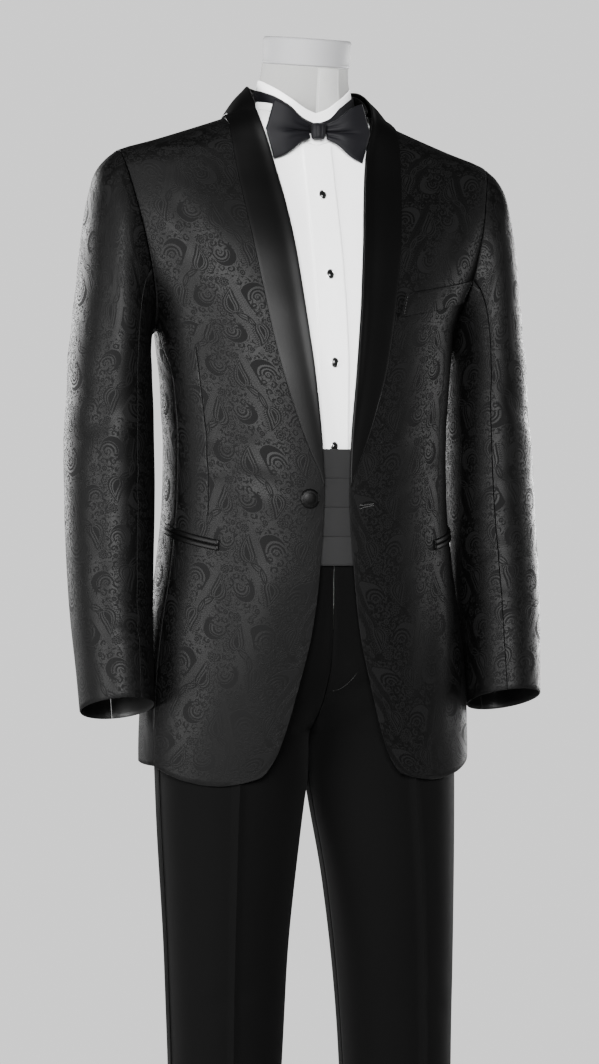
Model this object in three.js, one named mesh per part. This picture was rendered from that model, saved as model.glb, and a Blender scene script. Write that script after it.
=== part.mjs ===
// A men's tuxedo on a limbless dress form: an open one-button jacket with a satin shawl
// collar, a dress shirt, a cummerbund, a bow tie and creased trousers.
// Millimetres, +Z up, the front faces -Y, the wearer's left is +X, and the base stands on Z = 0.
import * as THREE from "three";

// Cloth and the gaps between its layers
const CLOTH = 2.0; // jacket and trouser cloth with its interlining
const SHIRTING = 1.2;
const SEAM = 0.16; // half of the gap at a seam
const REST = 0.35; // between one layer and the next

// Jacket
const ARMHOLE = { x: 205, y: 14, z: 1358.5, up: 106, lean: 12.5 };
const SHOULDER_NECK = 1520;
const PANEL_TOP = 1515;
const BACK_NECK = 1508;
const HEM = { corner: 738, low: 728, side: 748, settle: 850 };
const SIDE_SEAMS = { front: 0.8, back: 1.24, top: 0.06, settle: 1190 };
const ROLL_END = 1069;
const LAPEL_TOP = 1500;
const CUFF_SLOPE = 0.3; // the cuff's plane drops towards the back
const SLEEVE_SEAMS = { front: 112, back: -98 };
const WELT = { inner: 84, outer: 166, low: 1266, rise: 25, height: 28 };
const HIP_POCKET = { inner: 0.5, outer: 0.93, low: 996, rise: 20, jet: 6 };
const BUTTON = { x: -32.7, z: 1055.6, radius: 11, thick: 5 };

// Shirt, tie and sash
const SHIRT_HEM = 930;
const SHIRT_ARMHOLE = { low: 1290, middle: 1370, high: 1452, in: 0.16 };
const PLACKET = 18; // half its width
const STUD = { half: 4.4, tall: 6, thick: 3.2, heights: [1408, 1313, 1211, 1115] };
const BOW = { half: 64, corner: 54, height: 70, neck: 9, y: -49, z: 1486, thick: 4 };
const KNOT = { half: 9.5, height: 19, thick: 13, y: -43.5 };
const SASH = { bottom: 979, top: 1113, folds: 4, fold: 1.3, side: 1.25, strap: 32, off: 2.4 };

// Trousers
const TROUSER_HEM = 26;
const BAND = { bottom: 1022, top: 1060 };
const CREASE = { at: 0.45, half: 0.035, height: 3.5, full: 760, gone: 930 };
const STRIPE = { half: 0.075, thick: 1.2 };

// Dress form and stand
const FORM_BOTTOM = 905;
const FORM_CLEAR = 3.4; // how far the cloth hangs clear of the form below the neck
const NECK_TOP = 1572;
const CAP = { half: 51.5, front: 50, back: 56, thick: 26, edge: 2.5 };
const POLE = { x: -95, radius: 12.5 };
const BASE = { radius: 205, thick: 10, edge: 1.5 };

// Colour and roughness of each material
const FINISH = {
  jacquard: [0x242426, 0.62],
  satin: [0x17171a, 0.38],
  wool: [0x161618, 0.8],
  faille: [0x333336, 0.5],
  tie_silk: [0x24242b, 0.55],
  shirting: [0xf2f2f4, 0.75],
  onyx: [0x050506, 0.12],
  linen: [0xdcdcd8, 0.85],
  cap: [0xd6dadb, 0.6],
  steel: [0x9a9da0, 0.35],
};
const materials = Object.fromEntries(
  Object.entries(FINISH).map(([slot, [color, roughness]]) => {
    const metalness = slot === "steel" ? 1 : 0;
    return [slot, new THREE.MeshStandardMaterial({ color, roughness, metalness })];
  }),
);

const lerp = THREE.MathUtils.lerp;
const smooth = THREE.MathUtils.smoothstep;
const radians = THREE.MathUtils.degToRad;
const vector = (x, y, z) => new THREE.Vector3(x, y, z);

// n + 1 even values from a to b
const steps = (a, b, n) => Array.from({ length: n + 1 }, (_, i) => lerp(a, b, i / n));

// A table has named columns and one row for each section, joined by monotone cubics.
function table(columns, rows) {
  const keys = rows.map((row) => row[0]);
  const made = {};
  columns.slice(1).forEach((name, i) => {
    const values = rows.map((row) => row[i + 1]);
    made[name] = (key) => monotone(keys, values, key);
  });
  return made;
}

function monotone(keys, values, key) {
  const last = keys.length - 1;
  const slopeOf = (i) => (values[i + 1] - values[i]) / (keys[i + 1] - keys[i]);
  if (key <= keys[0]) return values[0] + slopeOf(0) * (key - keys[0]);
  if (key >= keys[last]) return values[last] + slopeOf(last - 1) * (key - keys[last]);
  let i = 0;
  while (key > keys[i + 1]) i++;
  const tangent = (j) => {
    if (j === 0) return slopeOf(0);
    if (j === last) return slopeOf(last - 1);
    const [before, after] = [slopeOf(j - 1), slopeOf(j)];
    return before * after <= 0 ? 0 : (2 * before * after) / (before + after);
  };
  const width = keys[i + 1] - keys[i];
  const t = (key - keys[i]) / width;
  const ease = t * t * (3 - 2 * t);
  const leave = t * (1 - t) * (1 - t) * width * tangent(i);
  const arrive = t * t * (t - 1) * width * tangent(i + 1);
  return lerp(values[i], values[i + 1], ease) + leave + arrive;
}

// A smooth curve through named points, by a parameter from 0 to 1.
function curveThrough(points) {
  const curve = new THREE.CatmullRomCurve3(points.map((p) => vector(...p)), false, "centripetal");
  return (t) => curve.getPoint(THREE.MathUtils.clamp(t, 0, 1));
}

// A quarter of a superellipse: share 0 is on the middle line, share 1 at the side.
function quarter(share, half, depth, power) {
  const s = Math.sin((share * Math.PI) / 2);
  const c = Math.cos((share * Math.PI) / 2);
  const k = (Math.abs(s) ** power + Math.abs(c) ** power) ** (-1 / power);
  return [half * k * s, depth * k * c];
}

// The share at which a quarter of that half width is x wide.
function shareAt(x, half, power) {
  const q = THREE.MathUtils.clamp(x / half, -1, 1);
  const rest = (1 - Math.abs(q) ** power) ** (1 / power);
  return Math.atan2(q, rest) / (Math.PI / 2);
}

// Builds a wall as one closed body from two grids of points, its outer and inner face.
function shell(outer, inner, wide, high) {
  const points = [...outer, ...inner];
  const shift = outer.length;
  const faces = [];
  const quad = (a, b, c, d) => faces.push(a, b, c, a, c, d);
  for (let j = 0; j < high - 1; j++)
    for (let i = 0; i < wide - 1; i++) {
      const a = j * wide + i;
      quad(a, a + 1, a + wide + 1, a + wide);
      quad(a + wide + shift, a + wide + 1 + shift, a + 1 + shift, a + shift);
    }
  const rim = [];
  for (let i = 0; i < wide - 1; i++) rim.push(i);
  for (let j = 0; j < high - 1; j++) rim.push(j * wide + wide - 1);
  for (let i = wide - 1; i > 0; i--) rim.push((high - 1) * wide + i);
  for (let j = high - 1; j >= 0; j--) rim.push(j * wide);
  for (let i = 0; i < rim.length - 1; i++)
    quad(rim[i + 1], rim[i], rim[i] + shift, rim[i + 1] + shift);
  return body(points, faces);
}

function body(points, faces) {
  const geometry = new THREE.BufferGeometry();
  const numbers = points.flatMap((p) => [p.x, p.y, p.z]);
  geometry.setAttribute("position", new THREE.Float32BufferAttribute(numbers, 3));
  geometry.setIndex(volume(points, faces) < 0 ? turned(faces) : faces);
  return geometry;
}

function volume(points, faces) {
  let total = 0;
  for (let i = 0; i < faces.length; i += 3) {
    const [a, b, c] = [points[faces[i]], points[faces[i + 1]], points[faces[i + 2]]];
    total += a.dot(b.clone().cross(c));
  }
  return total;
}

const turned = (faces) => faces.map((_, i) => faces[i - (i % 3) + [0, 2, 1][i % 3]]);

// The same body on the other side of the middle plane.
function mirrored(geometry) {
  const made = geometry.clone();
  const position = made.getAttribute("position");
  for (let i = 0; i < position.count; i++) position.setX(i, -position.getX(i));
  made.setIndex(turned(Array.from(geometry.index.array)));
  return made;
}

// A wall over a master surface. at(u, v) gives the surface's two parameters, under and over
// are the offsets of the wall's faces along its normal, and edge(u, v) may give the way in
// for a point of a rim where two walls meet at an angle.
function wall({ columns, rows, at, surface, under, over, side = 1, edge, lift, flat, span = [0.01, 2] }) {
  const [outer, inner] = [[], []];
  for (const v of rows)
    for (const u of columns) {
      const [a, b] = at ? at(u, v) : [u, v];
      const along = surface(a + span[0], b).sub(surface(a - span[0], b));
      const up = surface(a, b + span[1]).sub(surface(a, b - span[1]));
      const normal = along.cross(up).normalize().multiplyScalar(side);
      const point = surface(a, b);
      const top = over + (lift ? lift(u, v) : 0);
      outer.push(point.clone().addScaledVector(normal, top));
      const inward = edge && edge(u, v, point);
      if (inward) inner.push(point.clone().addScaledVector(inward, over - under));
      else inner.push(point.clone().addScaledVector(normal, under));
      if (flat && flat(u, v)) [outer, inner].forEach((list) => list.at(-1).setX(SEAM));
    }
  return shell(outer, inner, columns.length, rows.length);
}

const root = new THREE.Group();

function add(name, slot, geometry) {
  const mesh = new THREE.Mesh(geometry, materials[slot]);
  mesh.name = name;
  root.add(mesh);
  return mesh;
}

function addPair(name, slot, geometry) {
  add(`${name}_left`, slot, geometry);
  add(`${name}_right`, slot, mirrored(geometry));
}

// Dress form: horizontal sections below the neck, tilted forward above it.
// half is half the width, side the y of its widest point, front and back its depths.
const FORM = table(
  ["z", "half", "side", "front", "back", "tilt"],
  [
    [905, 160, 4, 98, 108, 0],
    [960, 163, 4, 103, 110, 0],
    [1000, 158, 4, 103, 105, 0],
    [1080, 147, 4, 104, 91, 0],
    [1150, 150, 5, 106, 92, 0],
    [1210, 158, 7, 107, 98, 0],
    [1260, 167, 10, 101, 106, 0],
    [1310, 175, 12, 91, 112, 0],
    [1345, 180, 12, 82, 115, 0],
    [1405, 190, 13, 62, 115, 0],
    [1440, 192, 14, 50, 108, 0],
    [1458, 188, 14, 44, 102, 0],
    [1472, 171, 14, 41, 97, 0],
    [1481, 149, 14, 39, 93, 0],
    [1489, 125, 14, 38, 89, 0],
    [1500, 95, 14, 38, 84, 0.02],
    [1510, 72.5, 14, 38, 79, 0.06],
    [1520, 61.5, 13, 39, 74, 0.1],
    [1535, 57, 12, 41, 68, 0.15],
    [1555, 53, 8, 45, 61, 0.19],
    [1576, 51, 3, 50, 56, 0.23],
  ],
);

// way: 0 is the middle of the front, 1 the left side, 2 the middle of the back, and below 0 the right.
function formPoint(way, z) {
  const share = 1 - Math.abs(1 - Math.abs(way));
  const ahead = Math.abs(way) <= 1;
  const side = FORM.side(z);
  const depth = ahead ? FORM.front(z) + side : FORM.back(z) - side;
  const power = lerp(2.3, 2, smooth(z, 1480, 1530));
  const [x, d] = quarter(share, FORM.half(z), depth, power);
  const y = ahead ? side - d : side + d;
  return vector(Math.sign(way) * x, y, z + FORM.tilt(z) * y);
}

// The form's surface at a true height, whatever the tilt of its sections.
function formAt(way, height) {
  let z = height;
  for (let i = 0; i < 6; i++) z += height - formPoint(way, z).z;
  return formPoint(way, z);
}

function solidOfRings(rings) {
  const wide = rings[0].length;
  const points = rings.flat();
  const faces = [];
  for (let j = 0; j < rings.length - 1; j++)
    for (let i = 0; i < wide; i++) {
      const [a, b] = [j * wide + i, j * wide + ((i + 1) % wide)];
      faces.push(a, b, b + wide, a, b + wide, a + wide);
    }
  const middle = (ring) => ring.reduce((sum, p) => sum.add(p), vector(0, 0, 0)).divideScalar(wide);
  const [low, high] = [points.length, points.length + 1];
  points.push(middle(rings[0]), middle(rings[rings.length - 1]));
  const last = (rings.length - 1) * wide;
  for (let i = 0; i < wide; i++) {
    const next = (i + 1) % wide;
    faces.push(next, i, low, last + i, last + next, high);
  }
  return body(points, faces);
}

const ROUND = 28;
const roundWays = steps(-2, 2, ROUND).slice(0, -1);

function formTorso() {
  const heights = [
    ...steps(FORM_BOTTOM, 1345, 6),
    1405, 1440, 1460, 1476, 1490, 1505, 1520, 1535, 1550, NECK_TOP,
  ];
  const inset = (way, z) => {
    const point = formPoint(way, z);
    const clear = FORM_CLEAR * (1 - smooth(z, 1500, 1550));
    return point.addScaledVector(normalOf(formPoint, way, z, [0.01, 2]), -clear);
  };
  return solidOfRings(heights.map((z) => roundWays.map((way) => inset(way, z))));
}

function formCap() {
  const tilt = FORM.tilt(NECK_TOP);
  const ring = (rise, grow) =>
    roundWays.map((way) => {
      const ahead = Math.abs(way) <= 1;
      const share = 1 - Math.abs(1 - Math.abs(way));
      const depth = (ahead ? CAP.front : CAP.back) + grow;
      const [x, d] = quarter(share, CAP.half + grow, depth, 2);
      const y = ahead ? -d : d;
      return vector(Math.sign(way) * x, y - tilt * rise, NECK_TOP + REST + rise + tilt * y);
    });
  const { thick, edge } = CAP;
  return solidOfRings([ring(0, 0), ring(thick - edge, 1), ring(thick, 1 - edge)]);
}

add("form_torso", "linen", formTorso());
add("form_cap", "cap", formCap());

// Stand: a round plate and a pole that passes up inside the right trouser leg.
function disc(radius, thick, edge) {
  const points = [
    [0, 0],
    [radius, 0],
    [radius, thick - edge],
    [radius - edge, thick],
    [0, thick],
  ].map(([x, y]) => new THREE.Vector2(x, y));
  return new THREE.LatheGeometry(points, 36).rotateX(Math.PI / 2);
}

function pole() {
  const height = FORM_BOTTOM - BASE.thick - 2 * REST;
  const points = [
    [0, 0],
    [POLE.radius, 0],
    [POLE.radius, height],
    [0, height],
  ].map(([x, y]) => new THREE.Vector2(x, y));
  return new THREE.LatheGeometry(points, 20).rotateX(Math.PI / 2);
}

add("stand_base", "steel", disc(BASE.radius, BASE.thick, BASE.edge));
add("stand_pole", "steel", pole()).position.set(POLE.x, 0, BASE.thick + REST);

// Jacket body: one smooth surface, cut by a leaning plane at the armhole.
const JACKET = table(
  ["z", "half", "side", "front", "back"],
  [
    [728, 200, 4, 106, 130],
    [760, 200, 4, 109, 132],
    [830, 197, 4, 114, 134],
    [900, 190, 5, 118, 132],
    [975, 179, 6, 121, 124],
    [1060, 171, 8, 121, 113],
    [1115, 170, 8, 119, 111],
    [1190, 175, 10, 116.5, 116],
    [1255, 182.1, 14, 109, 122],
    [1275, 190, 14, 106, 124],
    [1300, 205, 14, 101, 126],
    [1345, 229, 14, 91, 129],
    [1405, 252, 14, 70, 128],
    [1440, 249, 14, 56, 121],
    [1455, 238, 14, 51, 116],
    [1462, 228, 14, 49, 114],
    [1475, 188, 14, 46.5, 109],
    [1490, 144.5, 14, 45, 103],
    [1505, 102.5, 14, 44.3, 97],
    [1520, 63.5, 14, 44, 90],
  ],
);

const leanSlope = Math.tan(radians(ARMHOLE.lean));
const armReach = ARMHOLE.up * Math.cos(radians(ARMHOLE.lean));
const ARM_TOP = ARMHOLE.z + armReach;
const ARM_BOTTOM = ARMHOLE.z - armReach;
const armholeX = (z) => ARMHOLE.x + leanSlope * (z - ARMHOLE.z);

// The section of one jacket quarter at height z, and the share at which it ends there.
function jacketSection(z, ahead) {
  const half = JACKET.half(z);
  const side = JACKET.side(z);
  const depth = ahead ? JACKET.front(z) + side : JACKET.back(z) - side;
  const power = ahead ? 2.3 : lerp(2.3, 1.9, smooth(z, 1150, 1330));
  const cut = z > ARM_BOTTOM && z < ARM_TOP;
  const end = cut ? shareAt(armholeX(z), half, power) : 1;
  return { half, side, depth, power, end };
}

function jacketQuarter(share, z, ahead) {
  const { half, side, depth, power } = jacketSection(z, ahead);
  const [x, d] = quarter(share, half, depth, power);
  return vector(x, ahead ? side - d : side + d, z);
}

const frontPoint = (share, z) => jacketQuarter(share, z, true);
const backPoint = (share, z) => jacketQuarter(share, z, false);

// The jacket front over a given x at height z.
const FRONT_POWER = jacketSection(ARMHOLE.z, true).power;
const frontOver = (x, z) => frontPoint(shareAt(x, JACKET.half(z), FRONT_POWER), z);

// Half of the front opening by height
const EDGE = table(
  ["z", "x"],
  [
    [728, 104],
    [738, 84],
    [755, 71],
    [772, 63],
    [830, 46],
    [907, 28],
    [975, 20],
    [1060, 15],
    [1115, 17],
    [1190, 24],
    [1270, 33],
    [1345, 41],
    [1405, 49],
    [1440, 55],
    [1470, 61],
    [1500, 68],
    [1520, 70],
  ],
);

// The hem's height across a front, from its rounded corner to the side
const HEM_LINE = table(
  ["u", "z"],
  [
    [0, HEM.corner],
    [0.08, HEM.low + 2.5],
    [0.2, HEM.low],
    [0.55, HEM.low + 5],
    [1, HEM.side],
  ],
);

function settled(z, hem) {
  if (z >= HEM.settle) return z;
  return lerp(hem, HEM.settle, (z - HEM.low) / (HEM.settle - HEM.low));
}

const narrowing = (z) => smooth(z, SIDE_SEAMS.settle, ARM_BOTTOM);
const frontSeam = (z) => lerp(SIDE_SEAMS.front, 1 - SIDE_SEAMS.top, narrowing(z));
const backSeam = (z) => lerp(SIDE_SEAMS.back, 1 + SIDE_SEAMS.top, narrowing(z));

const SEAM_SHARE = 0.0008; // a seam's half gap on the body, as a share of a quarter
const ARM_SHARE = 0.003; // and where a quarter ends
const SHOULDER_STEP = 1.7; // height over which the front and back widen to the armhole

const bodyRows = [
  ...steps(HEM.low, ARM_BOTTOM - SHOULDER_STEP, 9),
  ...steps(0, 1, 7).map((t) => ARMHOLE.z - armReach * Math.cos(t * Math.PI)),
  ...steps(ARM_TOP, PANEL_TOP, 4).slice(1),
];

// Where two walls meet round the armhole, both go in towards its middle.
function armholeEdge(z, point) {
  if (z < ARM_BOTTOM || z > ARM_TOP) return null;
  return vector(ARMHOLE.x, ARMHOLE.y, ARMHOLE.z).sub(point).normalize();
}

function jacketFront() {
  return wall({
    columns: [0, 0.06, 0.14, 0.25, 0.37, 0.5, 0.63, 0.76, 0.88, 1],
    rows: bodyRows,
    at: (u, v) => {
      const z = settled(v, HEM_LINE.z(u));
      const { half, power, end } = jacketSection(z, true);
      const start = shareAt(EDGE.x(z), half, power);
      const stop = z < ARM_BOTTOM ? frontSeam(z) - SEAM_SHARE : end - ARM_SHARE;
      return [lerp(start, stop, u), z];
    },
    surface: frontPoint,
    under: -CLOTH,
    over: 0,
    edge: (u, v, point) => (u === 1 ? armholeEdge(v, point) : null),
  });
}

function jacketBack() {
  return wall({
    columns: steps(0, 1, 7),
    rows: bodyRows,
    at: (u, v) => {
      let z = settled(v, HEM.side);
      const neck = lerp(BACK_NECK, PANEL_TOP, smooth(u, 0.1, 0.9));
      if (z > ARM_TOP) z = lerp(ARM_TOP, neck, (z - ARM_TOP) / (PANEL_TOP - ARM_TOP));
      const { end } = jacketSection(z, false);
      const stop = z < ARM_BOTTOM ? 2 - backSeam(z) - SEAM_SHARE : end - ARM_SHARE;
      return [lerp(SEAM_SHARE, stop, u), z];
    },
    surface: backPoint,
    under: -CLOTH,
    over: 0,
    side: -1,
    edge: (u, v, point) => (u === 1 ? armholeEdge(v, point) : null),
  });
}

function jacketSide() {
  return wall({
    columns: steps(0, 1, 3),
    rows: steps(HEM.low, ARM_BOTTOM - SHOULDER_STEP - 2 * SEAM, 9),
    at: (u, v) => {
      const z = settled(v, HEM.side);
      return [lerp(frontSeam(z) + SEAM_SHARE, backSeam(z) - SEAM_SHARE, u), z];
    },
    surface: (way, z) => (way <= 1 ? frontPoint(way, z) : backPoint(2 - way, z)),
    under: -CLOTH,
    over: 0,
  });
}

addPair("jacket_front", "jacquard", jacketFront());
addPair("jacket_side", "jacquard", jacketSide());
addPair("jacket_back", "jacquard", jacketBack());

// Sleeves: rings that turn from the armhole's plane to the cuff's. x and z place a ring's
// inner point, turn leans its plane, across is its width outward, deep its width front to back.
const SLEEVE = table(
  ["ring", "x", "z", "y", "turn", "across", "deep"],
  [
    [0, 182.1, 1255, 14, 12.5, 212, 116],
    [1, 184.5, 1249, 14, 18.4, 201, 126],
    [2, 186, 1243, 15, 24.4, 178, 136],
    [3, 187.5, 1235, 16, 33.9, 143.5, 145],
    [4, 188, 1225, 18, 50.3, 111, 151],
    [5, 187, 1211, 19, 70.8, 97.5, 152],
    [6, 186, 1190, 19, 87.6, 97, 149],
    [7, 184.5, 1150, 17, 90, 101.5, 145],
    [8, 184.5, 1100, 12, 91, 104, 140],
    [9, 186, 1040, 4, 91, 103, 134],
    [10, 189, 980, -6, 91, 99.5, 128],
    [11, 192.5, 920, -16, 90, 94, 122],
    [12, 194, 865, -27, 90, 88.5, 117],
    [13, 195, 816, -37, 90, 84.5, 113],
  ],
);
const CUFF = 13;
const SLEEVE_OFF = 0.45; // the first ring stands off the armhole's edge

// angle: 0 is the top and outer line, 90 the front, 180 the inner line.
function sleeveRing(angle, ring) {
  const turn = radians(SLEEVE.turn(ring));
  const a = radians(angle);
  const up = vector(Math.sin(turn), 0, Math.cos(turn));
  const out = vector(Math.cos(turn), 0, -Math.sin(turn));
  const y = -(SLEEVE.deep(ring) / 2) * Math.sin(a);
  const drop = CUFF_SLOPE * smooth(ring, 8, CUFF) * y;
  return vector(SLEEVE.x(ring), SLEEVE.y(ring) + y, SLEEVE.z(ring) - drop)
    .addScaledVector(up, (SLEEVE.across(ring) / 2) * (1 + Math.cos(a)))
    .addScaledVector(out, SLEEVE_OFF * (1 - smooth(ring, 0, 1)));
}

// The armhole's own edge is not quite an oval, and the sleeve head eases from it to its rings.
function sleevePoint(angle, ring) {
  const point = sleeveRing(angle, ring);
  const rest = 1 - smooth(ring, 0, 4);
  if (rest > 0) {
    const ahead = Math.sin(radians(angle)) > 0;
    const z = ARMHOLE.z + armReach * Math.cos(radians(angle));
    const edge = jacketQuarter(jacketSection(z, ahead).end, z, ahead);
    point.y += rest * (edge.y - sleeveRing(angle, 0).y);
  }
  return point;
}

function sleevePart(start, end, columns) {
  const middle = sleevePoint(0, 0).add(sleevePoint(180, 0)).multiplyScalar(0.5);
  return wall({
    columns: steps(start, end, columns),
    rows: [0, 0.5, 1, 1.6, 2.3, 3, 4, 5, 6.2, 8, 9.5, 11, CUFF],
    surface: sleevePoint,
    under: -CLOTH,
    over: 0,
    span: [1, 0.05],
    edge: (_, ring, point) => (ring === 0 ? middle.clone().sub(point).normalize() : null),
  });
}

const SLEEVE_GAP = 0.14; // degrees
const { front: frontLine, back: backLine } = SLEEVE_SEAMS;
addPair("sleeve_top", "jacquard", sleevePart(backLine + SLEEVE_GAP, frontLine - SLEEVE_GAP, 10));
addPair("sleeve_under", "jacquard", sleevePart(frontLine + SLEEVE_GAP, 360 + backLine - SLEEVE_GAP, 6));

// Shawl collar: each half lies on its front up to the shoulder, then stands round the neck.
const LAPEL = table(
  ["z", "x"],
  [
    [1060, 13],
    [1069, 16.2],
    [1085, 21],
    [1105, 30],
    [1139, 43],
    [1210, 64],
    [1294, 80],
    [1395, 95],
    [1448, 101],
    [1500, 104],
  ],
);

// The height of the jacket's shoulder over x and y
function shoulderOver(x, y) {
  const ahead = y < ARMHOLE.y;
  let [low, high] = [ARM_TOP, SHOULDER_NECK];
  for (let i = 0; i < 24; i++) {
    const z = (low + high) / 2;
    const { half, side, depth, power } = jacketSection(z, ahead);
    const inside = (Math.abs(x) / half) ** power + (Math.abs(y - side) / depth) ** power < 1;
    if (inside) low = z;
    else high = z;
  }
  return low;
}

const foldStart = frontOver(EDGE.x(LAPEL_TOP), LAPEL_TOP).toArray();
const leafStart = frontOver(LAPEL.x(LAPEL_TOP), LAPEL_TOP).toArray();
const foldLine = curveThrough([
  foldStart,
  [70, -22, 1522.5],
  [67, 6, 1541],
  [58, 42, 1549],
  [33, 70, 1551],
  [SEAM, 79, 1551],
]);
const leafLine = curveThrough([
  leafStart,
  [98.5, -8, 1504.5],
  [98, 14, 1506.5],
  [91, 47, 1506.5],
  [73, 80, 1504.5],
  [40, 97, 1503.5],
  [SEAM, 101.5, 1502.5],
]);

// along: 0 to 1 climbs the front, 1 to 2 goes round the neck. across: 0 is the fold.
function collarPoint(across, along) {
  if (along <= 1) {
    const z = lerp(ROLL_END, LAPEL_TOP, along);
    return frontOver(lerp(EDGE.x(z), LAPEL.x(z), across), z);
  }
  const t = along - 1;
  const point = foldLine(t).lerp(leafLine(t), across);
  point.z += 5 * Math.sin(Math.PI * across) * smooth(t, 0, 0.25);
  const floor = shoulderOver(point.x, point.y) + 1.6 * smooth(t, 0, 0.08);
  point.z = Math.max(point.z, floor);
  return point;
}

// The lapel has the rows of the front beneath it, and one between each two.
function lapelRows() {
  const under = bodyRows.filter((z, i) => z > ROLL_END + 5 && z < LAPEL_TOP - 5 && z - bodyRows[i - 1] > 5);
  const heights = [ROLL_END, ...under, LAPEL_TOP];
  const between = heights.slice(1).map((z, i) => (z + heights[i]) / 2);
  const all = [...heights.slice(0, -1), ...between].sort((a, b) => a - b);
  return all.map((z) => (z - ROLL_END) / (LAPEL_TOP - ROLL_END));
}

function shawlCollar() {
  return wall({
    columns: steps(0, 1, 4),
    rows: [...lapelRows(), ...steps(1, 2, 8)],
    surface: (u, v) => collarPoint(u, Math.min(v, 2)),
    under: 2 * REST,
    over: 2 * REST + CLOTH,
    span: [0.02, 0.004],
  });
}

addPair("shawl_collar", "satin", shawlCollar());

// Collar stand: rises from the neck edge of the body to just under the fold.
const standFoot = curveThrough([
  [70.5, -23, 1516.2],
  [76.5, 12, 1516.4],
  [71, 48, 1514.8],
  [50, 76, 1512.5],
  [SEAM, 93.5, 1510],
]);

function collarStand() {
  return wall({
    columns: steps(0, 1, 8),
    rows: [0, 0.5, 1],
    surface: (t, h) => {
      const fold = foldLine(lerp(0.2, 1, t));
      fold.z -= 1.8;
      return standFoot(t).lerp(fold, h);
    },
    under: -1.6,
    over: 0,
    span: [0.01, 0.02],
    flat: (t) => t === 1,
  });
}

addPair("collar_stand", "jacquard", collarStand());

// Pieces that lie on the jacket front
function strip({ from, to, low, rise, height, over, columns }) {
  return wall({
    columns: steps(0, 1, columns),
    rows: [0, 1],
    at: (u, v) => [lerp(from, to, u), low + rise * u + height * v],
    surface: frontPoint,
    under: 2 * REST,
    over,
  });
}

function chestWelt() {
  const half = JACKET.half(WELT.low);
  const [from, to] = [WELT.inner, WELT.outer].map((x) => shareAt(x, half, FRONT_POWER));
  const { low, rise, height } = WELT;
  return strip({ from, to, low, rise, height, over: 2 * REST + CLOTH, columns: 8 });
}

function hipJet(order) {
  const { inner, outer, rise, jet } = HIP_POCKET;
  const low = HIP_POCKET.low + order * (jet + 2 * SEAM);
  return strip({ from: inner, to: outer, low, rise, height: jet, over: 2 * REST + 1.5, columns: 6 });
}

add("chest_welt", "jacquard", chestWelt());
addPair("hip_jet_lower", "satin", hipJet(0));
addPair("hip_jet_upper", "satin", hipJet(1));

// A round or oval piece with a domed face, on the plane through a point with a given normal.
function dome(point, normal, wide, tall, thick, sides) {
  const rings = [
    [0, 0.86],
    [0.3, 1],
    [0.62, 0.93],
    [0.88, 0.62],
    [1, 0.25],
  ].map(([rise, size]) =>
    Array.from({ length: sides }, (_, i) => {
      const a = (2 * Math.PI * i) / sides;
      return vector(wide * size * Math.cos(a), tall * size * Math.sin(a), thick * rise);
    }),
  );
  const turn = new THREE.Quaternion().setFromUnitVectors(vector(0, 0, 1), normal);
  return solidOfRings(rings.map((ring) => ring.map((p) => p.applyQuaternion(turn).add(point))));
}

function normalOf(surface, a, b, span) {
  const along = surface(a + span[0], b).sub(surface(a - span[0], b));
  const up = surface(a, b + span[1]).sub(surface(a, b - span[1]));
  return along.cross(up).normalize();
}

function jacketButton() {
  const share = shareAt(-BUTTON.x, JACKET.half(BUTTON.z), FRONT_POWER);
  const normal = normalOf(frontPoint, share, BUTTON.z, [0.01, 2]);
  const point = frontPoint(share, BUTTON.z).addScaledVector(normal, REST + 0.4);
  return mirrored(dome(point, normal, BUTTON.radius, BUTTON.radius, BUTTON.thick, 16));
}

add("jacket_button", "satin", jacketButton());

// Shirt: cut close to the form, with plain armholes and no sleeves.
const NECKLINE = table(
  ["way", "seam", "top"],
  [
    [0, 1470, 1509],
    [0.124, 1481, 1514],
    [0.326, 1501, 1526],
    [0.606, 1513, 1540],
    [1, 1517, 1553],
    [1.5, 1521, 1560],
    [2, 1524, 1562],
  ],
);
const collarSeam = (way) => NECKLINE.seam(Math.abs(way));
const collarTop = (way) => NECKLINE.top(Math.abs(way));

function shirtSide(z) {
  const { low, middle, high } = SHIRT_ARMHOLE;
  return 1 - SHIRT_ARMHOLE.in * smooth(z, low, middle) * (1 - smooth(z, middle, high));
}

const SHIRT_GAP = 0.0012;
const SHIRT_ROWS = [...steps(0, 0.52, 4), 0.6, 0.68, 0.76, 0.83, 0.9, 0.93, 0.955, 0.978, 1];

function shirtPanel(start, columns) {
  return wall({
    columns: steps(0, 1, columns),
    rows: SHIRT_ROWS,
    at: (u, v) => {
      const stop = (z) => shirtSide(z) - SHIRT_GAP;
      const way = (z) => lerp(start, start < 1 ? stop(z) : 2 - stop(z), u);
      const top = collarSeam(way(PANEL_TOP)) - 2 * SEAM;
      const z = lerp(SHIRT_HEM, top, v);
      return [way(z), z];
    },
    surface: formAt,
    under: REST,
    over: REST + SHIRTING,
  });
}

addPair("shirt_front", "shirting", shirtPanel(SHIRT_GAP, 7));
addPair("shirt_back", "shirting", shirtPanel(2 - SHIRT_GAP, 7));

function shirtOver(way, z, off) {
  return formAt(way, z).addScaledVector(normalOf(formAt, way, z, [0.01, 2]), off);
}

const shirtTop = REST + SHIRTING;

function placket() {
  return wall({
    columns: steps(-1, 1, 2),
    rows: SHIRT_ROWS,
    at: (u, v) => {
      const z = lerp(SHIRT_HEM, collarSeam(0) - 2 * SEAM, v);
      return [shareAt(u * PLACKET, FORM.half(z), 2.3), z];
    },
    surface: formAt,
    under: shirtTop + 2 * REST,
    over: shirtTop + 2 * REST + SHIRTING,
  });
}

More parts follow.
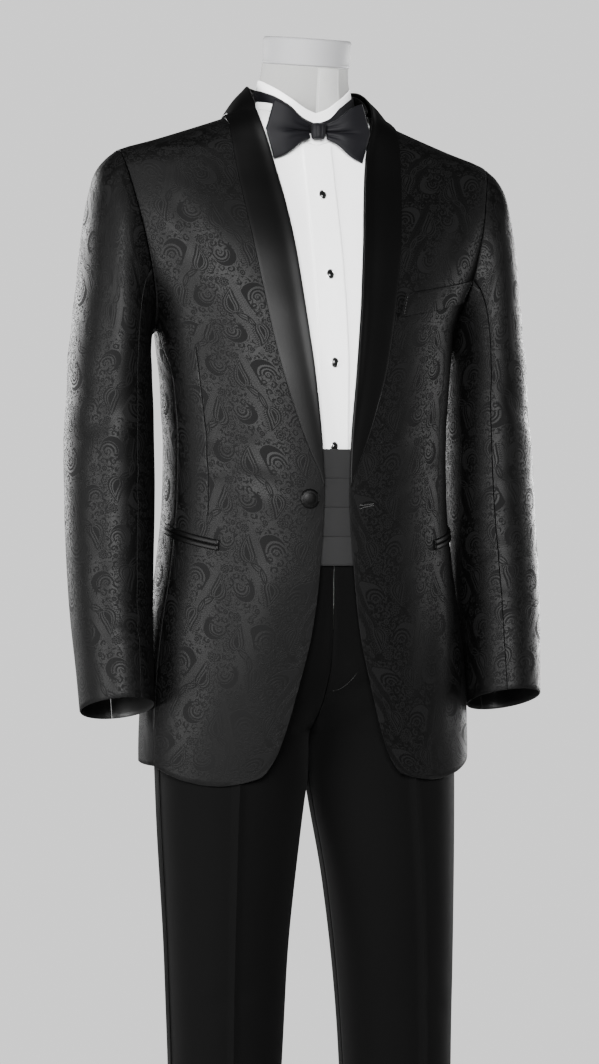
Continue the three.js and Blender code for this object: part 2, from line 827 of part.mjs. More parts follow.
function shirtCollar() {
  return wall({
    columns: steps(-2 + SHIRT_GAP, 2 - SHIRT_GAP, 28),
    rows: steps(0, 1, 3),
    at: (u, v) => [u, lerp(collarSeam(u), collarTop(u), v)],
    surface: formAt,
    under: REST,
    over: REST + SHIRTING,
  });
}

add("shirt_placket", "shirting", placket());
add("shirt_collar", "shirting", shirtCollar());

const studFoot = shirtTop + 2 * REST + SHIRTING + REST;
STUD.heights.forEach((z, i) => {
  const normal = normalOf(formAt, 0.0001, z, [0.01, 2]);
  const point = shirtOver(0.0001, z, studFoot);
  add(`stud_${i + 1}`, "onyx", dome(point, normal, STUD.half, STUD.tall, STUD.thick, 12));
});

// Bow tie
const BOW_SIDE = table(
  ["s", "half"],
  [
    [0, BOW.neck],
    [0.25, 14],
    [0.5, 23],
    [0.75, 30.5],
    [1, BOW.height / 2],
  ],
);

function bowPoint(s, t) {
  const reach = lerp(BOW.corner, BOW.half, 1 - Math.abs(t));
  const x = lerp(KNOT.half + 2 * REST, reach, s);
  const pinch = 3 * (1 - s) * (1 - smooth(Math.abs(t), 0, 0.35));
  return vector(x, BOW.y - 3 * Math.sin(Math.PI * s) + pinch, BOW.z + t * BOW_SIDE.half(s));
}

function bowWing() {
  return wall({
    columns: steps(0, 1, 6),
    rows: [-1, -0.6, -0.3, 0, 0.3, 0.6, 1],
    surface: bowPoint,
    under: -BOW.thick / 2,
    over: BOW.thick / 2,
    span: [0.02, 0.05],
  });
}

function bowKnot() {
  const shape = new THREE.Shape();
  const [w, h, r] = [KNOT.half - 1, KNOT.height / 2 - 1, 3];
  shape.moveTo(-w + r, -h);
  shape.lineTo(w - r, -h);
  shape.quadraticCurveTo(w, -h, w, -h + r);
  shape.lineTo(w, h - r);
  shape.quadraticCurveTo(w, h, w - r, h);
  shape.lineTo(-w + r, h);
  shape.quadraticCurveTo(-w, h, -w, h - r);
  shape.lineTo(-w, -h + r);
  shape.quadraticCurveTo(-w, -h, -w + r, -h);
  const bevel = { bevelThickness: 1, bevelSize: 1, bevelSegments: 1, curveSegments: 2 };
  return new THREE.ExtrudeGeometry(shape, { depth: KNOT.thick - 2, ...bevel }).rotateX(Math.PI / 2);
}

function bowBand() {
  return wall({
    columns: steps(-2 + SHIRT_GAP, 2 - SHIRT_GAP, 28),
    rows: [0.3, 2 / 3],
    at: (u, v) => [u, lerp(collarSeam(u), collarTop(u), v)],
    surface: formAt,
    under: shirtTop + 3 * REST,
    over: shirtTop + 3 * REST + 1,
  });
}

addPair("bow_wing", "tie_silk", bowWing());
add("bow_knot", "tie_silk", bowKnot()).position.set(0, KNOT.y, BOW.z);
add("bow_band", "tie_silk", bowBand());

// Trousers, left leg: outer and inner are the x of the side and of the inseam. An inner
// below zero is cut off at the middle plane, which makes the rise.
const LEG = table(
  ["z", "outer", "inner", "side", "front", "back"],
  [
    [26, 166, 56, -20, 84, 48],
    [120, 167, 52, -20, 85, 51],
    [260, 168, 46, -19, 88, 57],
    [390, 170, 40, -18, 90, 64],
    [495, 173, 33.5, -15, 92, 73],
    [600, 177, 22.5, -10, 93, 85],
    [700, 181, 7, -3, 88, 99],
    [735, 182, 2, -1, 87.5, 103],
    [782, 183, 0.5, 1, 89, 107.5],
    [790, 183, -4, 1, 90, 108.5],
    [800, 183, -10, 1, 91, 110],
    [820, 183, -30, 2, 92.5, 112],
    [840, 182, -60, 3, 95, 114],
    [860, 181, -95, 4, 100, 116],
    [880, 180, -135, 4, 103, 118],
    [900, 178, -178, 4, 106, 119],
    [960, 172, -172, 4, 109, 118],
    [1000, 165.5, -165.5, 4, 110, 113],
    [1060, 155, -155, 4, 110, 102],
    [1113, 153.5, -153.5, 4, 110, 97],
  ],
);
const legPower = (z) => lerp(2.1, 2.3, smooth(z, 780, 900));

// The turn at which a leg's section meets the middle plane, or its inner end, from its side.
function riseTurn(z) {
  const [outer, inner] = [LEG.outer(z), LEG.inner(z)];
  if (inner >= SEAM) return 2 - 0.0012;
  const half = (outer - inner) / 2;
  return 1 + shareAt((outer + inner - 2 * SEAM) / 2 / half, 1, legPower(z));
}

// turn: 0 is the side seam, 1 the middle of the front or back, 2 the inseam.
function legPoint(turn, z, ahead) {
  const [outer, inner] = [LEG.outer(z), LEG.inner(z)];
  const side = LEG.side(z);
  const depth = ahead ? LEG.front(z) + side : LEG.back(z) - side;
  const share = 1 - Math.abs(1 - turn);
  const [d, x] = quarter(share, depth, (outer - inner) / 2, legPower(z));
  return vector((outer + inner) / 2 + (turn <= 1 ? x : -x), ahead ? side - d : side + d, z);
}

const creaseHeight = (z) => CREASE.height * (1 - smooth(z, CREASE.full, CREASE.gone));

function trouserPoint(u, z, ahead) {
  const point = legPoint(lerp(0.0012, riseTurn(z), u), z, ahead);
  const ridge = creaseHeight(z) * Math.max(0, 1 - Math.abs(u - CREASE.at) / CREASE.half);
  point.y += ahead ? -ridge : ridge;
  return point;
}

const legRows = [
  ...steps(TROUSER_HEM, 735, 6),
  782, 790, 800, 820, 840, 860, 880, 900, 960, BAND.bottom - 2 * SEAM,
];

function trouserPanel(ahead) {
  return wall({
    columns: [0, 0.12, 0.24, 0.35, 0.415, 0.45, 0.485, 0.57, 0.7, 0.85, 1],
    rows: legRows,
    surface: (u, z) => trouserPoint(u, z, ahead),
    under: -CLOTH,
    over: 0,
    side: ahead ? -1 : 1,
    span: [0.005, 2],
  });
}

addPair("trouser_front", "wool", trouserPanel(true));
addPair("trouser_back", "wool", trouserPanel(false));

function sideStripe() {
  return wall({
    columns: [-STRIPE.half, 0, STRIPE.half],
    rows: legRows,
    surface: (turn, z) => legPoint(Math.abs(turn), z, turn >= 0),
    under: REST + 0.15,
    over: REST + 0.15 + STRIPE.thick,
    side: -1,
    span: [0.01, 2],
  });
}

addPair("side_stripe", "satin", sideStripe());

// The trousers' surface round the waist, by the same way as on the form
function waistPoint(way, z) {
  const share = 1 - Math.abs(1 - Math.abs(way));
  const ahead = Math.abs(way) <= 1;
  const side = LEG.side(z);
  const depth = ahead ? LEG.front(z) + side : LEG.back(z) - side;
  const [x, d] = quarter(share, LEG.outer(z), depth, legPower(z));
  return vector(Math.sign(way) * x, ahead ? side - d : side + d, z);
}

function waistband() {
  return wall({
    columns: steps(0.0012, 3.9988, 28),
    rows: [BAND.bottom, BAND.top],
    surface: (u, z) => waistPoint(u <= 2 ? u : u - 4, z),
    under: -CLOTH,
    over: 0,
  });
}

add("waistband", "wool", waistband());

// Sash: each fold leans out to its upper edge and laps over the foot of the one above.
function sashFront() {
  const fold = (SASH.top - SASH.bottom) / SASH.folds;
  const rows = Array.from({ length: SASH.folds }, (_, i) => [i, i + 0.97]).flat();
  const { side } = SASH;
  return wall({
    columns: steps(-side, side, 18),
    rows,
    at: (u, v) => [u, SASH.bottom + v * fold],
    surface: waistPoint,
    under: SASH.off,
    over: SASH.off + CLOTH,
    lift: (_, v) => SASH.fold * (v - Math.floor(v)),
  });
}

function sashStrap() {
  const middle = (SASH.top + SASH.bottom) / 2;
  return wall({
    columns: steps(SASH.side + 0.003, 4 - SASH.side - 0.003, 12),
    rows: [middle - SASH.strap / 2, middle + SASH.strap / 2],
    surface: (u, z) => waistPoint(u <= 2 ? u : u - 4, z),
    under: SASH.off,
    over: SASH.off + SHIRTING,
  });
}

add("sash_front", "faille", sashFront());
add("sash_strap", "faille", sashStrap());

export default root;
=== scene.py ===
import math
from types import SimpleNamespace

import bpy
import numpy as np
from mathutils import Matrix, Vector


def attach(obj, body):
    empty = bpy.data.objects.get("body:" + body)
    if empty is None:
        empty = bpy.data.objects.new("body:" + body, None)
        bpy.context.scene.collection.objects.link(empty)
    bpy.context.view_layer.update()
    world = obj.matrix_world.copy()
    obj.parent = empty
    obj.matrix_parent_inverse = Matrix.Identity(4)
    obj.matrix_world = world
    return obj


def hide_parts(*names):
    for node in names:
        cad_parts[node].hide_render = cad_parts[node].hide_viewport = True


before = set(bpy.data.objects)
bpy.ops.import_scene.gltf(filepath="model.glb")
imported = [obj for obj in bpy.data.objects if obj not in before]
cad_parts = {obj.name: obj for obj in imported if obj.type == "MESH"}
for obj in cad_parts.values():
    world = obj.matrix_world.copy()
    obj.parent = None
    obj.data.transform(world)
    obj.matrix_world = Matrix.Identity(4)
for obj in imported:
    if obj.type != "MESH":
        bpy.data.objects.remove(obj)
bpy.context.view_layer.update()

MM = 0.001
FLIP = np.array([-1.0, 1.0, 1.0])

# The photograph's view
VIEW = SimpleNamespace(azimuth=-17, distance=2.6, height=1.0176, shift=-0.0077, lens=73.9)

SIDES = (("left", False), ("right", True))

# Cloth and the gaps between its layers, as in the solids
CLOTH = 2.0
SHIRTING = 1.2
STAND_CLOTH = 1.6
JET_CLOTH = 1.5
SEAM = 0.16
REST = 0.35
ON_FRONT = 2 * REST
# The gap at a middle seam, as a share of a quarter of the way round
MIDDLE_GAP = 0.0012
# How square the front's sections are, where 2 is an ellipse
FRONT_POWER = 2.3

ARMHOLE = SimpleNamespace(x=205, y=14, z=1358.5, up=106, lean=12.5)
SHOULDER_NECK = 1520
PANEL_TOP = 1515
BACK_NECK = 1508
HEM = SimpleNamespace(low=728, side=748, settle=850)
SIDE_SEAMS = SimpleNamespace(front=0.8, back=1.24, top=0.06, settle=1190)
ROLL_END = 1069
LAPEL_TOP = 1500
CUFF_SLOPE = 0.3
SLEEVE_SEAMS = SimpleNamespace(front=112, back=-98)
WELT = SimpleNamespace(inner=84, outer=166, low=1266, rise=25, height=28)
HIP_POCKET = SimpleNamespace(inner=0.5, outer=0.93, low=996, rise=20, jet=6)
BUTTON = SimpleNamespace(x=-32.7, z=1055.6, radius=11)
BUTTONHOLE = SimpleNamespace(inner=27, outer=45, z=1046, rise=3)
DART = SimpleNamespace(x=141, low=1042, high=1240)

SHIRT_HEM = 930
SHIRT_ARMHOLE = SimpleNamespace(low=1290, middle=1370, high=1452, reach=0.16)
PLACKET = 18
STUD = SimpleNamespace(half=4.4, tall=6, heights=[1408, 1313, 1211, 1115])
BOW = SimpleNamespace(half=64, corner=54, y=-49, z=1486, thick=4)
KNOT = SimpleNamespace(half=9.5, height=19, thick=13, y=-43.5)
SASH = SimpleNamespace(bottom=979, top=1113, folds=4, side=1.25, strap=32, off=2.4)

TROUSER_HEM = 26
BAND = SimpleNamespace(bottom=1022, top=1060)
CREASE = SimpleNamespace(at=0.45, half=0.035, height=3.5, full=760, gone=930)
STRIPE = SimpleNamespace(half=0.075, thick=1.2)
FLY = SimpleNamespace(top=1010, bend=880, drop=45, outer=36, inner=2)

FORM_BOTTOM = 905
FORM_CLEAR = 3.4
NECK_TOP = 1572
CAP = SimpleNamespace(half=51.5, front=50, back=56)
POLE = SimpleNamespace(x=-95, radius=12.5, collar=18)
BASE = SimpleNamespace(radius=205, thick=10)


# Numbers and tables

def lerp(a, b, t):
    return a + (b - a) * t


def smooth(value, low, high):
    t = np.clip((value - low) / (high - low), 0, 1)
    return t * t * (3 - 2 * t)


def xyz(x, y, z):
    return np.stack(np.broadcast_arrays(x, y, z), axis=-1).astype(float)


def unit(vectors):
    return vectors / np.maximum(np.linalg.norm(vectors, axis=-1, keepdims=True), 1e-12)


def monotone(keys, values):
    """A smooth curve through a table's rows, straight beyond its ends."""
    slopes = np.diff(values) / np.diff(keys)
    before, after = slopes[:-1], slopes[1:]
    same_way = before * after > 0
    between = np.where(same_way, 2 * before * after / np.where(same_way, before + after, 1), 0)
    tangents = np.concatenate([slopes[:1], between, slopes[-1:]])

    def at(key):
        key = np.asarray(key, float)
        i = np.clip(np.searchsorted(keys, key) - 1, 0, len(keys) - 2)
        width = keys[i + 1] - keys[i]
        t = (key - keys[i]) / width
        inside = lerp(values[i], values[i + 1], t * t * (3 - 2 * t))
        inside += t * (1 - t) ** 2 * width * tangents[i]
        inside += t * t * (t - 1) * width * tangents[i + 1]
        below = values[0] + slopes[0] * (key - keys[0])
        above = values[-1] + slopes[-1] * (key - keys[-1])
        return np.where(key < keys[0], below, np.where(key > keys[-1], above, inside))

    return at


def table(columns, rows):
    """A function of the first column for each of the others."""
    data = np.array(rows, float)
    names = columns.split()[1:]
    made = {name: monotone(data[:, 0], data[:, i + 1]) for i, name in enumerate(names)}
    return SimpleNamespace(**made)


def curve_through(points):
    """A centripetal Catmull-Rom curve through points, by a parameter from 0 to 1."""
    p = np.array(points, float)
    p = np.concatenate([[2 * p[0] - p[1]], p, [2 * p[-1] - p[-2]]])
    spans = len(points) - 1
    t_all = np.linspace(0, spans, spans * 60 + 1)
    made = []
    for t in t_all:
        i = min(int(t), spans - 1)
        a, b, c, d = p[i:i + 4]
        gaps = [np.sum((q - r) ** 2) ** 0.25 for q, r in ((a, b), (b, c), (c, d))]
        leave = (b - a) / gaps[0] - (c - a) / (gaps[0] + gaps[1]) + (c - b) / gaps[1]
        arrive = (c - b) / gaps[1] - (d - b) / (gaps[1] + gaps[2]) + (d - c) / gaps[2]
        leave, arrive = leave * gaps[1], arrive * gaps[1]
        w = t - i
        made.append(
            b * (2 * w**3 - 3 * w**2 + 1) + leave * (w**3 - 2 * w**2 + w)
            + c * (3 * w**2 - 2 * w**3) + arrive * (w**3 - w**2)
        )
    made = np.array(made)

    def at(t):
        t = np.clip(t, 0, 1) * spans
        return np.stack([np.interp(t, t_all, made[:, k]) for k in range(3)], axis=-1)

    return at


def edged(a, b, count, edge=0.5):
    """Even values from a to b, with an extra one close to each end."""
    values = np.linspace(a, b, count + 1)
    step = (b - a) / count
    return np.concatenate([[a, a + edge * 0.3 * step], values[1:-1], [b - edge * 0.3 * step, b]])


def quarter(share, half, depth, power):
    """A quarter of a superellipse: share 0 is on the middle line, share 1 at the side."""
    s = np.sin(share * math.pi / 2)
    c = np.cos(share * math.pi / 2)
    k = (np.abs(s) ** power + np.abs(c) ** power) ** (-1 / power)
    return half * k * s, depth * k * c


def share_at(x, half, power):
    q = np.clip(x / half, -1, 1)
    return np.arctan2(q, (1 - np.abs(q) ** power) ** (1 / power)) / (math.pi / 2)


# Uneven fields and soft folds

# Drape of each garment: depth, size of its waves, seed of their random draws, stretch upwards
DRAPES = {
    "jacket": [(1.0, 210, 3, 3.4), (0.3, 75, 4, 2)],
    "sleeve": [(1.1, 170, 6, 3.2), (0.35, 60, 8, 2)],
    "shirt": [(0.55, 120, 21, 2.6)],
    "trousers": [(1.1, 190, 12, 3), (0.3, 70, 13, 2)],
}


def waves(points, size, seed, tall):
    """A smooth field from about -1 to 1, whose crests are about that size apart across."""
    random = np.random.default_rng(seed)
    total = 0
    for _ in range(7):
        way = unit(random.normal(size=3)) * 2 * math.pi / (size * np.array((1, 1, tall)))
        total = total + np.sin(points @ way + random.uniform(0, 2 * math.pi))
    return total / 4


def draped(points, garment):
    rows = DRAPES[garment]
    return sum(depth * waves(points, size, seed, tall) for depth, size, seed, tall in rows)


def crease(across, height, start, end, width, depth, bow):
    """A soft trough between two ridges that runs from start to end and fades there."""
    (x0, y0), (x1, y1) = start, end
    length = math.hypot(x1 - x0, y1 - y0)
    dx, dy = (x1 - x0) / length, (y1 - y0) / length
    t = ((across - x0) * dx + (height - y0) * dy) / length
    off = (height - y0) * dx - (across - x0) * dy - bow * 4 * t * (1 - t)
    fade = smooth(t, -0.2, 0.3) * (1 - smooth(t, 0.7, 1.2))
    trough = np.exp(-((off / width) ** 2))
    ridges = sum(np.exp(-(((off - k * 2 * width) / (1.4 * width)) ** 2)) for k in (-1, 1))
    return depth * fade * (0.5 * ridges - trough)


# Meshes

def circle(sides):
    return np.linspace(0, 2 * math.pi, sides + 1)[:-1]


def normals(surface, a, b, step=(0.01, 2.0)):
    along = surface(a + step[0], b) - surface(a - step[0], b)
    up = surface(a, b + step[1]) - surface(a, b - step[1])
    return unit(np.cross(along, up))


def mesh_piece(name, points, faces, uv, finishes, which=None, crisp=50):
    mesh = bpy.data.meshes.new(name)
    mesh.from_pydata((np.asarray(points) * MM).tolist(), [], [list(map(int, f)) for f in faces])
    layer = mesh.uv_layers.new(name="cloth")
    corners = np.empty(len(mesh.loops), dtype=np.int32)
    mesh.loops.foreach_get("vertex_index", corners)
    layer.data.foreach_set("uv", (uv[corners] * MM).astype(np.float32).ravel())
    for finish in finishes:
        mesh.materials.append(finish)
    if which is not None:
        mesh.polygons.foreach_set("material_index", np.asarray(which, dtype=np.int32))
    mesh.shade_smooth()
    mesh.set_sharp_from_angle(angle=math.radians(crisp))
    mesh.update()
    piece = bpy.data.objects.new(name, mesh)
    bpy.context.scene.collection.objects.link(piece)
    return piece


def placed(piece, slot, *nodes):
    """Rides on the one body and stands for the nodes, whose CAD parts it hides; the slot is not used."""
    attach(piece, "root")
    if nodes:
        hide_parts(*nodes)
    return piece


def facing_out(points, faces):
    """The faces, turned where a closed body's volume comes out below zero."""
    corners = points[np.array([[f[0], f[1], f[2]] for f in faces])]
    more = points[np.array([[f[0], f[2], f[-1]] for f in faces if len(f) == 4]).reshape(-1, 3)]
    total = sum(np.einsum("ij,ij->", c[:, 0], np.cross(c[:, 1], c[:, 2])) for c in (corners, more))
    return faces if total > 0 else [f[::-1] for f in faces]


def run_lengths(points, axis):
    """How far each point is along its row or column, in millimetres."""
    gaps = np.linalg.norm(np.diff(points, axis=axis), axis=-1)
    start = np.zeros_like(np.take(gaps, [0], axis=axis))
    return np.concatenate([start, np.cumsum(gaps, axis=axis)], axis=axis)


def laid_out(points):
    """The flat place of each point of a grid, as lengths along its row and its column."""
    return np.stack([run_lengths(points, 1), run_lengths(points, 0)], axis=-1).reshape(-1, 2)


def grid_faces(high, wide):
    """Faces of a wall's outer side, its inner side and its rim, in that order."""
    a = np.arange(high * wide).reshape(high, wide)
    quads = np.stack([a[:-1, :-1], a[:-1, 1:], a[1:, 1:], a[1:, :-1]], axis=-1).reshape(-1, 4)
    shift = high * wide
    rim = np.concatenate([a[0, :-1], a[:-1, -1], a[-1, :0:-1], a[:0:-1, 0]])
    after = np.roll(rim, -1)
    sides = np.stack([after, rim, rim + shift, after + shift], axis=-1)
    return quads, quads[:, ::-1] + shift, sides


def wall(outer, inner):
    """A closed body between two grids of points: its points, faces and each face's part."""
    sets = grid_faces(*outer.shape[:2])
    body = np.concatenate([outer.reshape(-1, 3), inner.reshape(-1, 3)])
    parts = np.concatenate([np.full(len(faces), k) for k, faces in enumerate(sets)])
    return body, facing_out(body, [tuple(f) for f in np.concatenate(sets)]), parts


def cloth(node, finish, surface, columns, rows, under, over, slot=None, at=None, turn=1,
          step=(0.01, 2.0), relief=None, inward=None, mirror=False, soft=1.0, inside=None,
          start=0.0, flat=None, from_end=False):
    """A thin wall over a surface, with softly rounded edges, that stands for a CAD node.
    under and over are its faces' offsets, and relief gives the folds of both.
    from_end lays the weave out from the last row, as on a sleeve from its cuff."""
    u, v = np.meshgrid(np.asarray(columns, float), np.asarray(rows, float))
    a, b = at(u, v) if at else (u, v)
    points = surface(a, b)
    normal = turn * normals(surface, a, b, step)
    ways = inward(u, v, points) if inward else np.zeros_like(points)
    if mirror:
        points, normal, ways = points * FLIP, normal * FLIP, ways * FLIP
    lift = relief(points, u, v) if relief else np.zeros(u.shape)
    across, along_up = run_lengths(points, 1), run_lengths(points, 0)
    border = np.minimum(
        np.minimum(across, across[:, -1:] - across),
        np.minimum(along_up, along_up[-1:] - along_up),
    )
    near = 1 - np.clip(border / soft, 0, 1)
    thin = 0.42 * (over - under) * (1 - np.sqrt(1 - near**2))
    outer = points + normal * (over - thin + lift)[..., None]
    inner = points + normal * (under + thin + lift)[..., None]
    turned_in = np.linalg.norm(ways, axis=-1, keepdims=True) > 0.5
    inner = np.where(turned_in, points + ways * (over - under), inner)
    if flat is not None:
        for grid in (outer, inner):
            grid[..., 0] = np.where(flat(u, v), (-SEAM if mirror else SEAM), grid[..., 0])
    body, faces, parts = wall(outer, inner)
    which = np.where(parts == 1, 1 if inside else 0, 0)
    if from_end:
        along_up = along_up - along_up[-1:]
    uv = np.stack([across + start, along_up + b[0, 0]], axis=-1).reshape(-1, 2)
    finishes = [finish] + ([inside] if inside else [])
    piece = mesh_piece("cloth_" + node, body, faces, np.tile(uv, (2, 1)), finishes, which)
    return placed(piece, slot or SLOTS[node.rsplit("_", 1)[0]], node)


def rings_piece(name, rings, finish, crisp=50):
    """A closed body through rings of points, with a flat fan at each end."""
    rings = np.asarray(rings, float)
    high, wide, _ = rings.shape
    points = rings.reshape(-1, 3)
    faces = []
    for j in range(high - 1):
        for i in range(wide):
            k = (i + 1) % wide
            faces.append((j * wide + i, j * wide + k, (j + 1) * wide + k, (j + 1) * wide + i))
    ends = np.array([rings[0].mean(axis=0), rings[-1].mean(axis=0)])
    low, top, last = len(points), len(points) + 1, (high - 1) * wide
    for i in range(wide):
        k = (i + 1) % wide
        faces.append((k, i, low))
        faces.append((last + i, last + k, top))
    uv = laid_out(rings)
    uv = np.concatenate([uv, uv[:1], uv[-1:]])
    points = np.concatenate([points, ends])
    return mesh_piece(name, points, facing_out(points, faces), uv, [finish], crisp=crisp)


def lathe(name, profile, centre_x, finish):
    turn = circle(96)
    rings = [xyz(centre_x + r * np.cos(turn), r * np.sin(turn), z) for r, z in profile]
    return rings_piece(name, rings, finish, crisp=40)


# Shaders

class Number:
    """A number that varies over a surface. Signs and methods add math nodes to its tree."""

    def __init__(self, tree, socket):
        self.tree, self.socket = tree, socket

    def node(self, operation, *others, clamp=False):
        made = self.tree.nodes.new("ShaderNodeMath")
        made.operation = operation
        made.use_clamp = clamp
        for slot, value in zip(made.inputs, (self, *others)):
            if isinstance(value, Number):
                self.tree.links.new(value.socket, slot)
            else:
                slot.default_value = value
        return Number(self.tree, made.outputs[0])

    def __add__(self, other):
        return self.node("ADD", other)

    def __sub__(self, other):
        return self.node("SUBTRACT", other)

    def __mul__(self, other):
        return self.node("MULTIPLY", other)

    def __truediv__(self, other):
        return self.node("DIVIDE", other)

    def __neg__(self):
        return self.node("MULTIPLY", -1)

    def __abs__(self):
        return self.node("ABSOLUTE")

    def maximum(self, other):
        return self.node("MAXIMUM", other)

    def minimum(self, other):
        return self.node("MINIMUM", other)

    def floor(self):
        return self.node("FLOOR")

    def fraction(self):
        return self.node("FRACT")

    def modulo(self, other):
        return self.node("FLOORED_MODULO", other)

    def sine(self):
        return self.node("SINE")

    def cosine(self):
        return self.node("COSINE")

    def root(self):
        return self.node("SQRT")

    def clamped(self):
        return self.node("ADD", 0, clamp=True)

    def angle(self, other):
        return self.node("ARCTAN2", other)

    def within(self, limit, blur=0.4):
        """1 where the number is below the limit, 0 above it."""
        return self.node("MULTIPLY_ADD", -1 / blur, limit / blur + 0.5, clamp=True)

    def band(self, low, high, blur=0.4):
        return abs(self - (low + high) / 2).within((high - low) / 2, blur)


class Shade:
    """A material on the cloth's own coordinates, in millimetres: x across, y up."""

    def __init__(self, name, roughness=0.6, specular=0.3, metallic=0.0, sheen=0.0):
        self.material = bpy.data.materials.new(name)
        self.material.use_nodes = True
        self.tree = self.material.node_tree
        self.shader = self.tree.nodes["Principled BSDF"]
        self.shader.inputs["Roughness"].default_value = roughness
        self.shader.inputs["Specular IOR Level"].default_value = specular
        self.shader.inputs["Metallic"].default_value = metallic
        self.shader.inputs["Sheen Weight"].default_value = sheen
        flat = self.tree.nodes.new("ShaderNodeUVMap")
        flat.uv_map = "cloth"
        split = self.tree.nodes.new("ShaderNodeSeparateXYZ")
        self.tree.links.new(flat.outputs["UV"], split.inputs[0])
        self.x = Number(self.tree, split.outputs["X"]) / MM
        self.y = Number(self.tree, split.outputs["Y"]) / MM

    def place(self, x, y):
        made = self.tree.nodes.new("ShaderNodeCombineXYZ")
        for slot, value in zip(made.inputs, (x, y)):
            self.tree.links.new(value.socket, slot)
        return made.outputs[0]

    def noise(self, wide, tall=None, detail=2.0, twist=0.0, shift=0.0):
        """Noise from 0 to 1 with grains of that width and height."""
        made = self.tree.nodes.new("ShaderNodeTexNoise")
        made.inputs["Scale"].default_value = 1.0
        made.inputs["Detail"].default_value = detail
        made.inputs["Distortion"].default_value = twist
        spot = self.place(self.x / wide + shift, self.y / (tall or wide))
        self.tree.links.new(spot, made.inputs["Vector"])
        return Number(self.tree, made.outputs["Fac"])

    def tint(self, low, high, share):
        """Colours from low to high by a share from 0 to 1."""
        made = self.tree.nodes.new("ShaderNodeMix")
        made.data_type = "RGBA"
        self.tree.links.new(share.socket, made.inputs["Factor"])
        made.inputs["A"].default_value = (*low, 1)
        made.inputs["B"].default_value = (*high, 1)
        self.tree.links.new(made.outputs["Result"], self.shader.inputs["Base Color"])
        return self

    def rough(self, value):
        self.tree.links.new(value.socket, self.shader.inputs["Roughness"])
        return self

    def bump(self, height):
        """Relief of that height, in millimetres."""
        made = self.tree.nodes.new("ShaderNodeBump")
        made.inputs["Distance"].default_value = MM
        self.tree.links.new(height.socket, made.inputs["Height"])
        self.tree.links.new(made.outputs["Normal"], self.shader.inputs["Normal"])
        return self.material


def grey(value, blue=0.0):
    return (value, value, value * (1 + blue))


# Jacquard figure: one cell of a half-drop repeat and one of the small scrolls, in millimetres
CELL = SimpleNamespace(wide=60, tall=100)
SPRIG = SimpleNamespace(wide=10.5, tall=9.5)
WEAVE = SimpleNamespace(ground=0.0006, figure=0.0021, rough=0.46, matter=0.3, gloss=0.11)
MOTIFS = [
    # kind, x, y, turn, size
    ("plume", 12, 27, 12, 15.5),
    ("plume", -15, -27, 192, 13),
    ("drop", -15, 12, 28, 0.66),
    ("drop", 15, -17, 205, 0.6),
    ("flower", 21, -41, 0, 7),
    ("flower", -20, 41, 0, 6),
    ("ring", 26, -2, 0, 3.4),
    ("ring", -26, -6, 0, 2.8),
    ("ring", 2, -46, 0, 3.0),
    ("leaf", -2, 1, 64, 1.0),
    ("leaf", 5, -6, 22, 0.9),
]


def plume(x, y, size):
    """A crescent that curls over parallel arcs."""
    far = (x * x + y * y).root()
    dx, dy = x - 0.28 * size, y + 0.24 * size
    inner = (dx * dx + dy * dy).root()
    crescent = far.within(size).minimum(inner.within(0.84 * size) * -1 + 1)
    above = (-y).within(0.25 * size, 0.6)
    arcs = (inner * (2 * math.pi / 4.2)).sine().band(0.0, 2, 0.5)
    arcs = arcs.minimum(inner.band(0.1 * size, 0.78 * size)).minimum(above)
    return crescent.maximum(arcs), far.within(size + 1.2, 0.6).minimum(crescent.maximum(above))


def drop(x, y, size):
    """A curled drop with an outline, an inner drop, a seeded heart and a scalloped rim."""
    long, wide, foot = 46 * size, 15 * size, 13 * size
    rise = y.maximum(0)
    bent = x - rise * rise * (0.02 / size)
    share = ((y + foot) / long).clamped()
    off = abs(bent) - share.root() * (share * -1 + 1) * (wide * 2.6)
    there = share.band(0.01, 0.97, 0.04)
    outline = off.band(-2.2, -0.1)
    inner = off.band(-5.4, -4.0)
    heart = off.within(-7.0)
    petals = abs((y * (1.5 / size)).sine() * 1.3 + 2.2 - off).within(0.7)
    rim = petals.minimum(off.band(0.6, 4.0))
    return outline.maximum(inner).maximum(heart).maximum(rim).minimum(there), off.within(4.2, 0.6)


def flower(x, y, size):
    far = (x * x + y * y).root()
    petal = abs((y.angle(x) * 3.5).sine()) * (0.34 * size) + 0.64 * size
    rim = (far - petal).band(-1.7, -0.2)
    middle = far.within(0.22 * size)
    return rim.maximum(middle).maximum(far.band(0.36 * size, 0.5 * size)), (far - petal).within(1)


def ring(x, y, size):
    far = (x * x + y * y).root()
    return far.band(size - 1.4, size).maximum(far.within(0.3 * size)), far.within(size + 1)


def leaf(x, y, size):
    tall, wide = 11 * size, 3.8 * size
    off = abs(x) + y * y * (wide / tall**2) - wide
    vein = abs(x).within(0.45).minimum(abs(y).within(tall * 0.8))
    edge = off.band(-1.4, 0.1).minimum(abs(y).within(tall))
    return edge.maximum(vein), off.within(0.8).minimum(abs(y).within(tall))


def scroll(x, y, size):
    far = (x * x + y * y).root()
    turns = (far / 3.9 - y.angle(x) / (2 * math.pi)).fraction()
    return turns.band(0.3, 0.66, 0.12).minimum(far.within(size))


def sprigs(x, y):
    """Small scrolls with a leaf, each turned its own way, that fill the ground."""
    row = (y / SPRIG.tall).floor()
    x = x + row.modulo(2) * (SPRIG.wide / 2)
    column = (x / SPRIG.wide).floor()
    turn = ((column * 12.99 + row * 78.23).sine() * 43.76).fraction() * (2 * math.pi)
    across = ((x / SPRIG.wide).fraction() - 0.5) * SPRIG.wide
    up = ((y / SPRIG.tall).fraction() - 0.5) * SPRIG.tall
    c, s = turn.cosine(), turn.sine()
    dx, dy = across * c + up * s, up * c - across * s
    curl = scroll(dx - 0.6, dy, 4.1)
    blade = (abs(dx + 3.9) + dy * dy * 0.1).within(0.9)
    return curl.maximum(blade)


